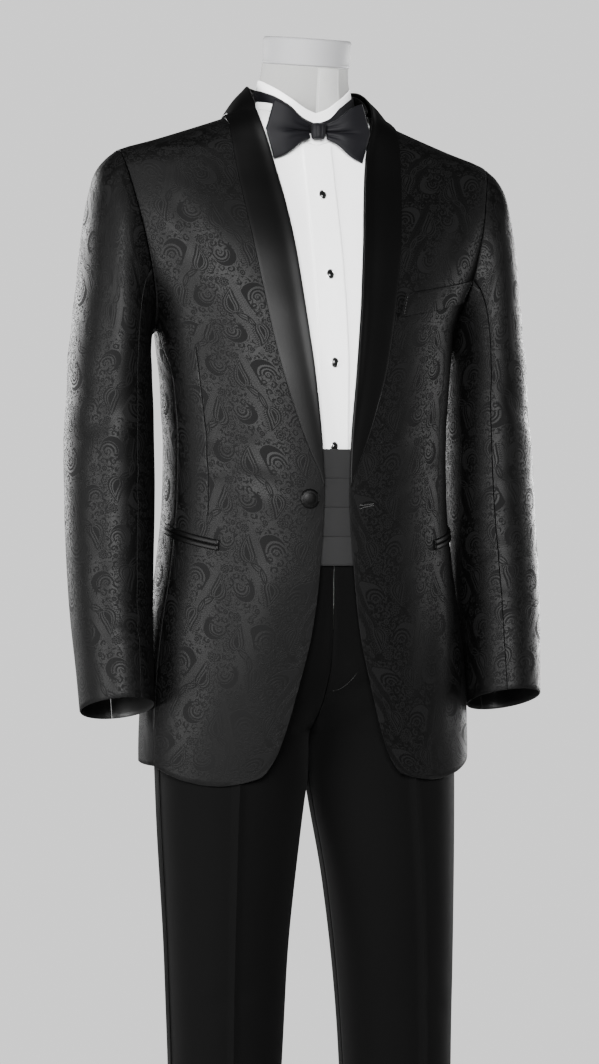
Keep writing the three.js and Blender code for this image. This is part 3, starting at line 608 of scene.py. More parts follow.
DRAWN = {"plume": plume, "drop": drop, "flower": flower, "ring": ring, "leaf": leaf}


def jacquard_figure(shade):
    """1 on the woven figure and 0 on the ground."""
    sway = shade.noise(70) * 10
    x, y = shade.x + sway, shade.y + sway
    column = x / CELL.wide
    odd = column.floor().modulo(2)
    x = (column.fraction() - 0.5) * (odd * -2 + 1) * CELL.wide
    y = ((y / CELL.tall + odd * 0.5).fraction() - 0.5) * CELL.tall
    wisps = abs(shade.noise(8, 11, detail=1.0, twist=1.5) - 0.5).within(0.02, 0.02)
    figure = sprigs(x, y).maximum(wisps * 0.8)
    for kind, at_x, at_y, turn, size in MOTIFS:
        c, s = math.cos(math.radians(turn)), math.sin(math.radians(turn))
        dx, dy = x - at_x, y - at_y
        lines, body = DRAWN[kind](dx * c + dy * s, dy * c - dx * s, size)
        figure = figure.minimum(body * -1 + 1).maximum(lines)
    return figure


def jacquard(name, dart=False):
    shade = Shade(name, specular=WEAVE.gloss)
    figure = jacquard_figure(shade)
    grain = shade.noise(0.5, 2.2)
    height = figure * 0.06 + grain * 0.02
    if dart:
        reach = shade.y.band(DART.low, DART.high, 4)
        fold = abs(shade.x - DART_ACROSS)
        height = height - fold.within(0.9, 1.4) * reach * 0.9
        # Painted shade: the lighter figure is cleared along the dart, so the groove shows as a darker line
        # of ground colour beside its bump
        figure = figure * (fold.within(0.7, 0.8) * reach * -1 + 1)
    shade.tint(grey(WEAVE.ground), grey(WEAVE.figure, 0.03), figure * (grain * 0.4 + 0.7))
    shade.rough(figure * WEAVE.matter + WEAVE.rough + grain * 0.04)
    return shade.bump(height)


def satin():
    shade = Shade("satin", specular=0.09)
    grain = shade.noise(0.35, 3.0)
    shade.tint(grey(0.0007), grey(0.0014), grain)
    shade.rough(shade.noise(40, 90) * 0.06 + 0.4)
    return shade.bump(grain * 0.035)


def wool():
    shade = Shade("wool", specular=0.04, sheen=0.01)
    twill = ((shade.x + shade.y) * (2 * math.pi / 1.1)).sine()
    fibre = shade.noise(0.6, 1.4, detail=4)
    shade.tint(grey(0.0008), grey(0.0018), fibre * 0.6 + shade.noise(60, 160) * 0.4)
    shade.rough(fibre * 0.15 + 0.74)
    return shade.bump(twill * 0.04 + fibre * 0.06)


def faille():
    shade = Shade("faille", specular=0.15, sheen=0.02)
    rib = (shade.y * (2 * math.pi / 0.95)).sine()
    slub = shade.noise(14, 0.8, detail=3)
    shade.tint(grey(0.0085), grey(0.012, 0.03), slub)
    shade.rough(slub * 0.12 + 0.48)
    return shade.bump(rib * 0.05 + slub * 0.08)


def tie_silk():
    shade = Shade("tie_silk", specular=0.14, sheen=0.01)
    weave = ((shade.x - shade.y) * (2 * math.pi / 0.8)).sine()
    slub = shade.noise(3, 0.9, detail=3)
    shade.tint((0.0016, 0.0016, 0.0024), (0.003, 0.0029, 0.0042), slub)
    shade.rough(slub * 0.1 + 0.5)
    return shade.bump(weave * 0.03 + slub * 0.05)


def shirting():
    shade = Shade("shirting", specular=0.2, sheen=0.1)
    weave = (shade.x * 9).sine() * (shade.y * 9).sine()
    cloud = shade.noise(35, 60)
    shade.tint(grey(0.92), grey(0.96, 0.005), cloud)
    shade.rough(cloud * 0.1 + 0.72)
    return shade.bump(weave * 0.025 + shade.noise(0.7) * 0.03)


def linen(name, low, high):
    shade = Shade(name, roughness=0.88, specular=0.15, sheen=0.1)
    weave = (shade.x * 4.8).sine() * (shade.y * 4.8).sine()
    slub = shade.noise(7, 0.9, detail=3) * 0.5 + shade.noise(0.9, 7, detail=3, shift=3) * 0.5
    shade.tint(low, high, (slub * 1.2 + weave * 0.12 - 0.1).clamped())
    return shade.bump(weave * 0.13 + slub * 0.3)


def cap_cover():
    shade = Shade("cap_cover", specular=0.3)
    grain = shade.noise(1.3, detail=5)
    shade.tint(grey(0.24, 0.02), grey(0.29, 0.02), grain * 0.7 + shade.noise(30) * 0.3)
    shade.rough(grain * 0.2 + 0.5)
    return shade.bump(grain * 0.16)


def steel():
    shade = Shade("steel", specular=0.5, metallic=1.0)
    line = shade.noise(60, 0.25, detail=3)
    shade.tint(grey(0.36), grey(0.5, 0.02), line)
    shade.rough(line * 0.18 + 0.24)
    return shade.bump(line * 0.02)


def plain_finish(name, low, high, roughness, specular, grain=2.0, relief=0.02, metallic=0.0):
    """A finish without weave: fine grain over two near tones."""
    shade = Shade(name, roughness=roughness, specular=specular, metallic=metallic)
    speck = shade.noise(grain, detail=4)
    shade.tint(low, high, speck)
    return shade.bump(speck * relief)


# Form

FORM = table("z half side front back tilt", [
    [905, 160, 4, 98, 108, 0],
    [960, 163, 4, 103, 110, 0],
    [1000, 158, 4, 103, 105, 0],
    [1080, 147, 4, 104, 91, 0],
    [1150, 150, 5, 106, 92, 0],
    [1210, 158, 7, 107, 98, 0],
    [1260, 167, 10, 101, 106, 0],
    [1310, 175, 12, 91, 112, 0],
    [1345, 180, 12, 82, 115, 0],
    [1405, 190, 13, 62, 115, 0],
    [1440, 192, 14, 50, 108, 0],
    [1458, 188, 14, 44, 102, 0],
    [1472, 171, 14, 41, 97, 0],
    [1481, 149, 14, 39, 93, 0],
    [1489, 125, 14, 38, 89, 0],
    [1500, 95, 14, 38, 84, 0.02],
    [1510, 72.5, 14, 38, 79, 0.06],
    [1520, 61.5, 13, 39, 74, 0.1],
    [1535, 57, 12, 41, 68, 0.15],
    [1555, 53, 8, 45, 61, 0.19],
    [1576, 51, 3, 50, 56, 0.23],
])


def round_point(way, half, side, front, back, power):
    """way 0 is the middle of the front, 1 the left side, 2 the middle of the back."""
    share = 1 - np.abs(1 - np.abs(way))
    ahead = np.abs(way) <= 1
    x, d = quarter(share, half, np.where(ahead, front + side, back - side), power)
    return np.sign(way) * x, np.where(ahead, side - d, side + d)


def form_point(way, z):
    power = lerp(FRONT_POWER, 2, smooth(z, 1480, 1530))
    x, y = round_point(way, FORM.half(z), FORM.side(z), FORM.front(z), FORM.back(z), power)
    return xyz(x, y, z + FORM.tilt(z) * y)


def form_at(way, height):
    z = height
    for _ in range(6):
        z = z + height - form_point(way, z)[..., 2]
    return form_point(way, z)


# Jacket body

JACKET = table("z half side front back", [
    [728, 200, 4, 106, 130],
    [760, 200, 4, 109, 132],
    [830, 197, 4, 114, 134],
    [900, 190, 5, 118, 132],
    [975, 179, 6, 121, 124],
    [1060, 171, 8, 121, 113],
    [1115, 170, 8, 119, 111],
    [1190, 175, 10, 116.5, 116],
    [1255, 182.1, 14, 109, 122],
    [1275, 190, 14, 106, 124],
    [1300, 205, 14, 101, 126],
    [1345, 229, 14, 91, 129],
    [1405, 252, 14, 70, 128],
    [1440, 249, 14, 56, 121],
    [1455, 238, 14, 51, 116],
    [1462, 228, 14, 49, 114],
    [1475, 188, 14, 46.5, 109],
    [1490, 144.5, 14, 45, 103],
    [1505, 102.5, 14, 44.3, 97],
    [1520, 63.5, 14, 44, 90],
])
EDGE = table("z x", [
    [728, 104], [738, 84], [755, 71], [772, 63], [830, 46], [907, 28], [975, 20], [1060, 15],
    [1115, 17], [1190, 24], [1270, 33], [1345, 41], [1405, 49], [1440, 55], [1470, 61],
    [1500, 68], [1520, 70],
])
HEM_LINE = table("u z", [[0, 738], [0.08, 730.5], [0.2, 728], [0.55, 733], [1, 748]])
LAPEL = table("z x", [
    [1060, 13], [1069, 16.2], [1085, 21], [1105, 30], [1139, 43], [1210, 64], [1294, 80],
    [1395, 95], [1448, 101], [1500, 104],
])

lean_slope = math.tan(math.radians(ARMHOLE.lean))
arm_reach = ARMHOLE.up * math.cos(math.radians(ARMHOLE.lean))
ARM_TOP = ARMHOLE.z + arm_reach
ARM_BOTTOM = ARMHOLE.z - arm_reach


def jacket_section(z, ahead):
    half, side = JACKET.half(z), JACKET.side(z)
    depth = np.where(ahead, JACKET.front(z) + side, JACKET.back(z) - side)
    power = np.where(ahead, FRONT_POWER, lerp(FRONT_POWER, 1.9, smooth(z, 1150, 1330)))
    armhole_x = ARMHOLE.x + lean_slope * (z - ARMHOLE.z)
    cut = (z > ARM_BOTTOM) & (z < ARM_TOP)
    end = np.where(cut, share_at(armhole_x, half, power), 1.0)
    return half, side, depth, power, end


def jacket_quarter(share, z, ahead):
    half, side, depth, power, _ = jacket_section(z, ahead)
    x, d = quarter(share, half, depth, power)
    return xyz(x, np.where(ahead, side - d, side + d), z)


def front_point(share, z):
    return jacket_quarter(share, z, True)


def back_point(share, z):
    return jacket_quarter(share, z, False)


def front_share(x, z):
    return share_at(x, JACKET.half(z), FRONT_POWER)


def front_over(x, z):
    return front_point(front_share(x, z), z)


DART_ACROSS = float(
    run_lengths(front_over(np.linspace(0, DART.x, 60), np.full(60, 1140.0))[None], 1)[0, -1]
)

# Creases of the jacket's front and back: across is x, and they run from low to high.
FRONT_CREASES = [
    # x0, z0, x1, z1, width, depth, bow
    [-150, 1090, -60, 1062, 9, 1.5, 6],
    [-158, 1140, -84, 1112, 12, 1.3, -8],
    [-120, 860, -96, 1000, 16, 1.6, 6],
    [-160, 800, -150, 960, 14, 1.8, 0],
    [-176, 1180, -186, 1300, 9, 2.4, 6],
    [-132, 1330, -176, 1410, 12, 1.2, 6],
    [60, 1060, 148, 1096, 10, 1.3, -6],
    [88, 1118, 160, 1148, 12, 1.2, 6],
    [108, 820, 124, 980, 17, 1.8, -8],
    [158, 780, 162, 960, 13, 1.6, 0],
    [176, 1190, 186, 1296, 9, 2.2, -6],
    [138, 1330, 178, 1402, 13, 1.0, -6],
]
BACK_CREASES = [
    [-120, 1120, -20, 1100, 13, 1.6, -8],
    [24, 1092, 126, 1122, 12, 1.5, -8],
    [-96, 780, -70, 980, 20, 2.0, 10],
    [58, 770, 96, 990, 22, 2.1, -8],
    [-168, 1170, -184, 1290, 10, 2.2, 6],
    [168, 1180, 184, 1290, 10, 2.0, -6],
    [-60, 1400, -10, 1470, 16, 1.0, 8],
    [12, 1460, 70, 1396, 15, 1.1, 8],
]


def creases(rows, across, height):
    return sum(crease(across, height, r[0:2], r[2:4], *r[4:]) for r in rows)


def jacket_relief(points, *_):
    x, y, z = points[..., 0], points[..., 1], points[..., 2]
    calm = 1 - smooth(z, 1385, 1455)
    held = smooth(z, HEM.low, 800) * 0.4 + 0.6
    ahead = 1 - smooth(y, 0, 40)
    folds = ahead * creases(FRONT_CREASES, x, z) + (1 - ahead) * creases(BACK_CREASES, x, z)
    return calm * (held * draped(points, "jacket") + folds)


def settled(z, hem):
    share = (z - HEM.low) / (HEM.settle - HEM.low)
    return np.where(z >= HEM.settle, z, lerp(hem, HEM.settle, share))


def front_seam(z):
    return lerp(SIDE_SEAMS.front, 1 - SIDE_SEAMS.top, smooth(z, SIDE_SEAMS.settle, ARM_BOTTOM))


def back_seam(z):
    return lerp(SIDE_SEAMS.back, 1 + SIDE_SEAMS.top, smooth(z, SIDE_SEAMS.settle, ARM_BOTTOM))


SEAM_SHARE = 0.0008
ARM_SHARE = 0.003
SHOULDER_STEP = 1.7
BODY_ROWS = np.concatenate([
    edged(HEM.low, ARM_BOTTOM - SHOULDER_STEP, 90)[:-2],
    [ARM_BOTTOM - SHOULDER_STEP],
    ARMHOLE.z - arm_reach * np.cos(np.linspace(0, math.pi, 43)),
    np.linspace(ARM_TOP, PANEL_TOP, 13)[1:],
])


def armhole_inward(u, z, points):
    """Where two walls meet round the armhole, both go in towards its middle."""
    middle = np.array([ARMHOLE.x, ARMHOLE.y, ARMHOLE.z])
    here = (u == 1) & (z >= ARM_BOTTOM) & (z <= ARM_TOP)
    return unit(middle - points) * here[..., None]


def front_at(u, v):
    z = settled(v, HEM_LINE.z(u))
    half, _, _, power, end = jacket_section(z, True)
    start = share_at(EDGE.x(z), half, power)
    stop = np.where(z < ARM_BOTTOM, front_seam(z) - SEAM_SHARE, end - ARM_SHARE)
    return lerp(start, stop, u), z


def back_at(u, v):
    z = settled(v, HEM.side)
    neck = lerp(BACK_NECK, PANEL_TOP, smooth(u, 0.1, 0.9))
    z = np.where(z > ARM_TOP, lerp(ARM_TOP, neck, (z - ARM_TOP) / (PANEL_TOP - ARM_TOP)), z)
    end = jacket_section(z, False)[-1]
    stop = np.where(z < ARM_BOTTOM, 2 - back_seam(z) - SEAM_SHARE, end - ARM_SHARE)
    return lerp(SEAM_SHARE, stop, u), z


def side_at(u, v):
    z = settled(v, HEM.side)
    return lerp(front_seam(z) + SEAM_SHARE, back_seam(z) - SEAM_SHARE, u), z


def side_point(way, z):
    share = np.where(way <= 1, way, 2 - way)
    return np.where((way <= 1)[..., None], front_point(share, z), back_point(share, z))


# Sleeves

SLEEVE = table("ring x z y turn across deep", [
    [0, 182.1, 1255, 14, 12.5, 212, 116],
    [1, 184.5, 1249, 14, 18.4, 201, 126],
    [2, 186, 1243, 15, 24.4, 178, 136],
    [3, 187.5, 1235, 16, 33.9, 143.5, 145],
    [4, 188, 1225, 18, 50.3, 111, 151],
    [5, 187, 1211, 19, 70.8, 97.5, 152],
    [6, 186, 1190, 19, 87.6, 97, 149],
    [7, 184.5, 1150, 17, 90, 101.5, 145],
    [8, 184.5, 1100, 12, 91, 104, 140],
    [9, 186, 1040, 4, 91, 103, 134],
    [10, 189, 980, -6, 91, 99.5, 128],
    [11, 192.5, 920, -16, 90, 94, 122],
    [12, 194, 865, -27, 90, 88.5, 117],
    [13, 195, 816, -37, 90, 84.5, 113],
])
CUFF = 13
SLEEVE_OFF = 0.45
SLEEVE_GAP = 0.14


def sleeve_ring(angle, ring):
    turn, a = np.radians(SLEEVE.turn(ring)), np.radians(angle)
    zero = np.zeros(np.broadcast(turn, a).shape)
    up = xyz(np.sin(turn) + zero, zero, np.cos(turn))
    out = xyz(np.cos(turn) + zero, zero, -np.sin(turn))
    y = -(SLEEVE.deep(ring) / 2) * np.sin(a)
    drop_back = CUFF_SLOPE * smooth(ring, 8, CUFF) * y
    base = xyz(SLEEVE.x(ring) + zero, SLEEVE.y(ring) + y, SLEEVE.z(ring) - drop_back)
    rise = (SLEEVE.across(ring) / 2) * (1 + np.cos(a))
    off = SLEEVE_OFF * (1 - smooth(ring, 0, 1)) + zero
    return base + up * rise[..., None] + out * off[..., None]


def sleeve_point(angle, ring):
    point = sleeve_ring(angle, ring)
    a = np.radians(angle)
    ahead = np.sin(a) > 0
    z = ARMHOLE.z + arm_reach * np.cos(a)
    edge = jacket_quarter(jacket_section(z, ahead)[-1], z, ahead)
    rest = 1 - smooth(ring, 0, 4)
    point[..., 1] += rest * (edge[..., 1] - sleeve_ring(angle, np.zeros_like(angle * 1.0))[..., 1])
    return point


# Creases of the sleeves: across is the angle round them in degrees, 90 at the front.
SLEEVE_CREASES = {
    1: [
        [60, 930, 128, 946, 7, 1.5, -3],
        [84, 1000, 150, 984, 9, 1.4, 4],
        [70, 1082, 140, 1060, 9, 1.2, 4],
        [-60, 940, -130, 962, 9, 1.5, 3],
        [20, 1150, 96, 1186, 12, 1.5, -6],
        [-20, 1180, -90, 1210, 12, 1.4, 4],
        [196, 940, 252, 962, 8, 1.6, 0],
        [200, 1010, 250, 1000, 9, 1.2, 3],
    ],
    -1: [
        [72, 905, 146, 915, 7, 2.2, -2],
        [50, 960, 118, 982, 10, 1.3, 4],
        [84, 1072, 150, 1054, 8, 1.8, 5],
        [24, 1130, 100, 1168, 13, 1.6, -6],
        [-30, 1190, -92, 1206, 12, 1.4, 4],
        [-60, 930, -126, 950, 9, 1.7, 3],
        [200, 930, 254, 950, 8, 1.6, 0],
        [196, 1030, 250, 1014, 9, 1.2, 3],
    ],
}


def sleeve_relief(points, angle, ring):
    side = 1 if points[..., 0].mean() > 0 else -1
    z = points[..., 2]
    here = smooth(ring, 3.2, 5.5)
    folds = draped(points, "sleeve") + creases(SLEEVE_CREASES[side], angle, z)
    calm = 1 - 0.6 * smooth(ring, 12, CUFF)
    # The sleeve head is eased into the armhole in small puckers
    top = 1 - smooth(np.abs(angle), 60, 110)
    pucker = 0.28 * np.sin(np.radians(angle) * 34) * top * smooth(ring, 0, 0.5)
    pucker = pucker * (1 - smooth(ring, 0.7, 2.0))
    roping = 1.4 * top * smooth(ring, 0, 0.6) * (1 - smooth(ring, 0.8, 2.6))
    return here * calm * folds + pucker + roping


def sleeve_inward(angle, ring, points):
    middle = np.array([ARMHOLE.x, ARMHOLE.y, ARMHOLE.z])
    return unit(middle - points) * (ring == 0)[..., None]


# Shawl collar

def shoulder_over(x, y):
    """The height of the jacket's shoulder over x and y."""
    ahead = y < ARMHOLE.y
    low = np.full(np.shape(x), ARM_TOP)
    high = np.full(np.shape(x), float(SHOULDER_NECK))
    for _ in range(24):
        z = (low + high) / 2
        half, side, depth, power, _ = jacket_section(z, ahead)
        inside = (np.abs(x) / half) ** power + (np.abs(y - side) / depth) ** power < 1
        low, high = np.where(inside, z, low), np.where(inside, high, z)
    return low


fold_line = curve_through([
    front_over(EDGE.x(LAPEL_TOP), LAPEL_TOP),
    [70, -22, 1522.5], [67, 6, 1541], [58, 42, 1549], [33, 70, 1551], [SEAM, 79, 1551],
])
leaf_line = curve_through([
    front_over(LAPEL.x(LAPEL_TOP), LAPEL_TOP),
    [98.5, -8, 1504.5], [98, 14, 1506.5], [91, 47, 1506.5], [73, 80, 1504.5],
    [40, 97, 1503.5], [SEAM, 101.5, 1502.5],
])


def collar_point(across, along):
    along = np.minimum(along, 2.0)
    z = lerp(ROLL_END, LAPEL_TOP, along)
    lapel = front_over(lerp(EDGE.x(z), LAPEL.x(z), across), z)
    t = along - 1
    point = lerp(fold_line(t), leaf_line(t), across[..., None])
    point[..., 2] += 5 * np.sin(math.pi * across) * smooth(t, 0, 0.25)
    floor = shoulder_over(point[..., 0], point[..., 1]) + 1.6 * smooth(t, 0, 0.08)
    point[..., 2] = np.maximum(point[..., 2], floor)
    return np.where((along <= 1)[..., None], lapel, point)


def collar_relief(points, across, along):
    """The roll stands off the front along the fold, and follows the front's own folds."""
    roll = 2.6 * np.exp(-((across / 0.16) ** 2)) * smooth(along, 0.05, 0.4)
    belly = 0.9 * np.sin(math.pi * np.clip(across, 0, 1)) * smooth(along, 0, 0.3)
    return jacket_relief(points) * (along <= 1) + (roll + belly) * (1 - 0.5 * smooth(along, 1, 1.3))


stand_foot = curve_through([
    [70.5, -23, 1516.2], [76.5, 12, 1516.4], [71, 48, 1514.8], [50, 76, 1512.5],
    [SEAM, 93.5, 1510],
])


def stand_point(t, h):
    fold = fold_line(lerp(0.2, 1, t))
    fold[..., 2] -= 1.8
    return lerp(stand_foot(t), fold, h[..., None])


# Shirt

NECKLINE = table("way seam top", [
    [0, 1470, 1509], [0.124, 1481, 1514], [0.326, 1501, 1526], [0.606, 1513, 1540],
    [1, 1517, 1553], [1.5, 1521, 1560], [2, 1524, 1562],
])
SHIRT_TOP = REST + SHIRTING


def shirt_side(z):
    hole = SHIRT_ARMHOLE
    hollow = smooth(z, hole.low, hole.middle) * (1 - smooth(z, hole.middle, hole.high))
    return 1 - hole.reach * hollow


def shirt_at(start):
    def at(u, v):
        def way(z):
            stop = shirt_side(z) - MIDDLE_GAP
            return lerp(start, stop if start < 1 else 2 - stop, u)

        top = NECKLINE.seam(way(float(PANEL_TOP))) - 2 * SEAM
        z = lerp(SHIRT_HEM, top, v)
        return way(z), z

    return at


def shirt_relief(points, *_):
    calm = 1 - smooth(points[..., 2], 1440, 1480)
    return calm * np.abs(draped(points, "shirt"))


def placket_at(u, v):
    z = lerp(SHIRT_HEM, NECKLINE.seam(0) - 2 * SEAM, v)
    return share_at(u * PLACKET, FORM.half(z), FRONT_POWER), z


def collar_at(u, v):
    way = np.abs(u)
    return u, lerp(NECKLINE.seam(way), NECKLINE.top(way), v)


# Trousers and sash

LEG = table("z outer inner side front back", [
    [26, 166, 56, -20, 84, 48],
    [120, 167, 52, -20, 85, 51],
    [260, 168, 46, -19, 88, 57],
    [390, 170, 40, -18, 90, 64],
    [495, 173, 33.5, -15, 92, 73],
    [600, 177, 22.5, -10, 93, 85],
    [700, 181, 7, -3, 88, 99],
    [735, 182, 2, -1, 87.5, 103],
    [782, 183, 0.5, 1, 89, 107.5],
    [790, 183, -4, 1, 90, 108.5],
    [800, 183, -10, 1, 91, 110],
    [820, 183, -30, 2, 92.5, 112],
    [840, 182, -60, 3, 95, 114],
    [860, 181, -95, 4, 100, 116],
    [880, 180, -135, 4, 103, 118],
    [900, 178, -178, 4, 106, 119],
    [960, 172, -172, 4, 109, 118],
    [1000, 165.5, -165.5, 4, 110, 113],
    [1060, 155, -155, 4, 110, 102],
    [1113, 153.5, -153.5, 4, 110, 97],
])


def leg_power(z):
    return lerp(2.1, FRONT_POWER, smooth(z, 780, 900))


def rise_turn(z):
    outer, inner = LEG.outer(z), LEG.inner(z)
    half = (outer - inner) / 2
    meets = 1 + share_at((outer + inner - 2 * SEAM) / 2 / half, 1, leg_power(z))
    return np.where(inner >= SEAM, 2 - MIDDLE_GAP, meets)


def leg_point(turn, z, ahead):
    outer, inner, side = LEG.outer(z), LEG.inner(z), LEG.side(z)
    depth = np.where(ahead, LEG.front(z) + side, LEG.back(z) - side)
    share = 1 - np.abs(1 - turn)
    d, x = quarter(share, depth, (outer - inner) / 2, leg_power(z))
    x = (outer + inner) / 2 + np.where(turn <= 1, x, -x)
    return xyz(x, np.where(ahead, side - d, side + d), z)


def trouser_surface(ahead):
    def surface(u, z):
        point = leg_point(lerp(MIDDLE_GAP, rise_turn(z), u), z, ahead)
        height = CREASE.height * (1 - smooth(z, CREASE.full, CREASE.gone))
        off = np.abs(u - CREASE.at) / CREASE.half
        ridge = height * np.maximum(0, 1 - off) ** 1.6
        point[..., 1] += np.where(ahead, -ridge, ridge)
        return point

    return surface


# Creases of the trousers: across is x, given for each side.
TROUSER_CREASES = [
    [12, 830, 70, 862, 9, 1.8, -5],
    [-14, 822, -76, 850, 9, 1.7, 5],
    [8, 790, 52, 806, 8, 1.4, -3],
    [-150, 470, -80, 500, 13, 1.6, 4],
    [70, 480, 150, 452, 13, 1.5, 4],
    [60, 96, 150, 120, 13, 2.2, 6],
    [-150, 130, -66, 98, 13, 2.4, 6],
    [96, 200, 160, 170, 15, 1.6, 6],
    [-156, 226, -100, 184, 15, 1.5, 4],
]


def trouser_relief(points, *_):
    x, z = points[..., 0], points[..., 2]
    calm = 1 - smooth(z, 900, 975)
    near_middle = smooth(np.abs(x), 2, 14)
    near_hem = smooth(z, TROUSER_HEM, 70) * 0.6 + 0.4
    folds = draped(points, "trousers") + creases(TROUSER_CREASES, x, z)
    return calm * near_middle * near_hem * folds


def waist_point(way, z):
    x, y = round_point(way, LEG.outer(z), LEG.side(z), LEG.front(z), LEG.back(z), leg_power(z))
    return xyz(x, y, z)


def around(u):
    return np.where(u <= 2, u, u - 4)


# Finishes

JACQUARD = jacquard("jacquard")
JACQUARD_FRONT = jacquard("jacquard_front", dart=True)
SATIN = satin()
# Plain finishes: two tones, roughness, specular, size of the grain and its relief
LINING = plain_finish("lining", grey(0.006), grey(0.012), 0.42, 0.3, 6.0, 0.05)
WOOL = wool()
FAILLE = faille()
TIE_SILK = tie_silk()
SHIRT_COTTON = shirting()
LINEN = linen("linen", (0.26, 0.26, 0.253), (0.36, 0.36, 0.351))
TAPE = linen("tape", (0.38, 0.38, 0.372), (0.48, 0.48, 0.472))
CAP_COVER = cap_cover()
STEEL = steel()
RIM = plain_finish("stud_rim", grey(0.66), grey(0.76), 0.18, 0.5, 3.0, 0.01, metallic=1.0)
ONYX = plain_finish("onyx", grey(0.002), grey(0.006), 0.1, 0.6, 4.0, 0.005)
BLACK_THREAD = plain_finish("black_thread", grey(0.012), grey(0.03), 0.5, 0.4, 0.6, 0.1)
WHITE_THREAD = plain_finish("white_thread", grey(0.7), grey(0.85), 0.7, 0.2, 0.6, 0.1)

SLOTS = {
    "jacket_front": "jacquard", "jacket_side": "jacquard", "jacket_back": "jacquard",
    "sleeve_top": "jacquard", "sleeve_under": "jacquard", "collar_stand": "jacquard",
    "shawl_collar": "satin", "hip_jet_lower": "satin", "hip_jet_upper": "satin",
    "shirt_front": "shirting", "shirt_back": "shirting", "bow_wing": "tie_silk",
    "trouser_front": "wool", "trouser_back": "wool", "side_stripe": "satin",
}


# Camera and light

def look_at(thing, target):
    way = Vector(target) - thing.location
    thing.rotation_euler = way.to_track_quat("-Z", "Y").to_euler()


def add_camera():
    a = math.radians(VIEW.azimuth)
    right = Vector((math.cos(a), math.sin(a), 0))
    target = Vector((0, 0, VIEW.height)) + right * VIEW.shift
    camera = bpy.data.objects.new("camera", bpy.data.cameras.new("camera"))
    camera.location = target + Vector((math.sin(a), -math.cos(a), 0)) * VIEW.distance
    camera.data.lens = VIEW.lens
    look_at(camera, target)
    bpy.context.scene.collection.objects.link(camera)
    bpy.context.scene.camera = camera


# Soft boxes: azimuth, height, distance, width, tall, aim height, power
LIGHTS = {
    "key": (-68, 1.0, 2.5, 1.6, 1.3, 1.05, 128),
    "front": (-20, 1.9, 3.0, 1.6, 1.0, 1.2, 275),
    "right": (86, 1.35, 2.6, 1.0, 1.0, 1.2, 38),
    "behind": (124, 1.3, 2.6, 1.0, 1.3, 1.1, 135),
    "back": (-152, 1.6, 2.8, 1.4, 1.2, 1.1, 110),
}


def add_lights():
    for name, (azimuth, height, far, wide, tall, aim, power) in LIGHTS.items():
        data = bpy.data.lights.new(name, "AREA")
        data.shape, data.size, data.size_y, data.energy = "RECTANGLE", wide, tall, power
        light = bpy.data.objects.new(name, data)
        a = math.radians(azimuth)
        light.location = (math.sin(a) * far, -math.cos(a) * far, height)
        look_at(light, (0, 0, aim))
        bpy.context.scene.collection.objects.link(light)


def add_world(seen, light):
    """A plain grey backdrop that gives less light than it shows."""
    world = bpy.data.worlds.new("studio")
    world.use_nodes = True
    tree = world.node_tree
    tree.nodes.clear()
    shades = []
    for value in (light, seen):
        shade = tree.nodes.new("ShaderNodeBackground")
        shade.inputs["Color"].default_value = (value, value, value, 1)
        shades.append(shade)
    path = tree.nodes.new("ShaderNodeLightPath")
    mix = tree.nodes.new("ShaderNodeMixShader")
    out = tree.nodes.new("ShaderNodeOutputWorld")
    tree.links.new(path.outputs["Is Camera Ray"], mix.inputs[0])
    tree.links.new(shades[0].outputs[0], mix.inputs[1])
    tree.links.new(shades[1].outputs[0], mix.inputs[2])
    tree.links.new(mix.outputs[0], out.inputs[0])
    bpy.context.scene.world = world


def add_floor():
    finish = plain_finish("floor", grey(0.56), grey(0.6), 0.8, 0.2, 30.0, 0.1)
    lathe("floor", [(1390, -8), (1400, -4), (1390, -0.5)], 0, finish)


add_camera()
add_lights()
add_world(seen=1.19, light=0.1)
add_floor()


# Form and stand

WAYS = np.linspace(-2, 2, 129)[:-1]
# The cap's rises and how far it grows beyond its own sizes
CAP_PROFILE = [
    (0, -1.2), (0.5, -0.3), (1.4, 0.4), (2.8, 0.5), (3.6, 0.1), (4.4, 0), (14, 0.5), (26, 0.9),
    (28.4, 0.8), (30, 0), (30.8, -1.2), (31, -3), (31.1, -20),
]


def build_form():
    heights = np.concatenate([np.linspace(FORM_BOTTOM, 1440, 60), np.linspace(1444, NECK_TOP, 60)])
    way, z = np.meshgrid(WAYS, heights)
    clear = FORM_CLEAR * (1 - smooth(z, 1500, 1550))
    points = form_point(way, z) - normals(form_point, way, z) * clear[..., None]
    torso = rings_piece("form_cover", points, LINEN)
    placed(torso, "linen", "form_torso")

    tilt = float(FORM.tilt(NECK_TOP))
    rings = []
    for rise, grow in CAP_PROFILE:
        x, y = round_point(WAYS, CAP.half + grow, 0, CAP.front + grow, CAP.back + grow, 2)
        rings.append(xyz(x, y - tilt * rise, NECK_TOP + REST + rise + tilt * y))
    placed(rings_piece("form_cap_cover", rings, CAP_COVER, crisp=70), "cap", "form_cap")


def build_stand():
    low, top = BASE.thick + REST, FORM_BOTTOM - REST
    wide = POLE.collar
    collar = [(wide, low), (wide, low + 7), (wide - 1, low + 8), (POLE.radius, low + 8.4)]
    shaft = [(POLE.radius, z) for z in (low + 9, 200, 420, 640, top)]
    pole = lathe("pole_tube", collar + shaft, POLE.x, STEEL)
    placed(pole, "steel", "stand_pole")
    r, h = BASE.radius, BASE.thick
    edge = [(r - 3, 0), (r - 1, 0.4), (r, 1.6), (r, h - 2), (r - 0.5, h - 0.8), (r - 1.6, h)]
    plate = lathe("base_plate", edge + [(r - 30, h), (60, h)], 0, STEEL)
    placed(plate, "steel", "stand_base")


# Threads

# A stitch's rings: share of its length, then size and rise as shares of its radius
STITCH = SimpleNamespace(
    along=np.array([0, 0.15, 0.5, 0.85, 1]),
    size=np.array([0.25, 0.9, 1, 0.9, 0.25]),
    rise=np.array([-0.6, 0.2, 0.5, 0.2, -0.6]),
    sides=6,
)


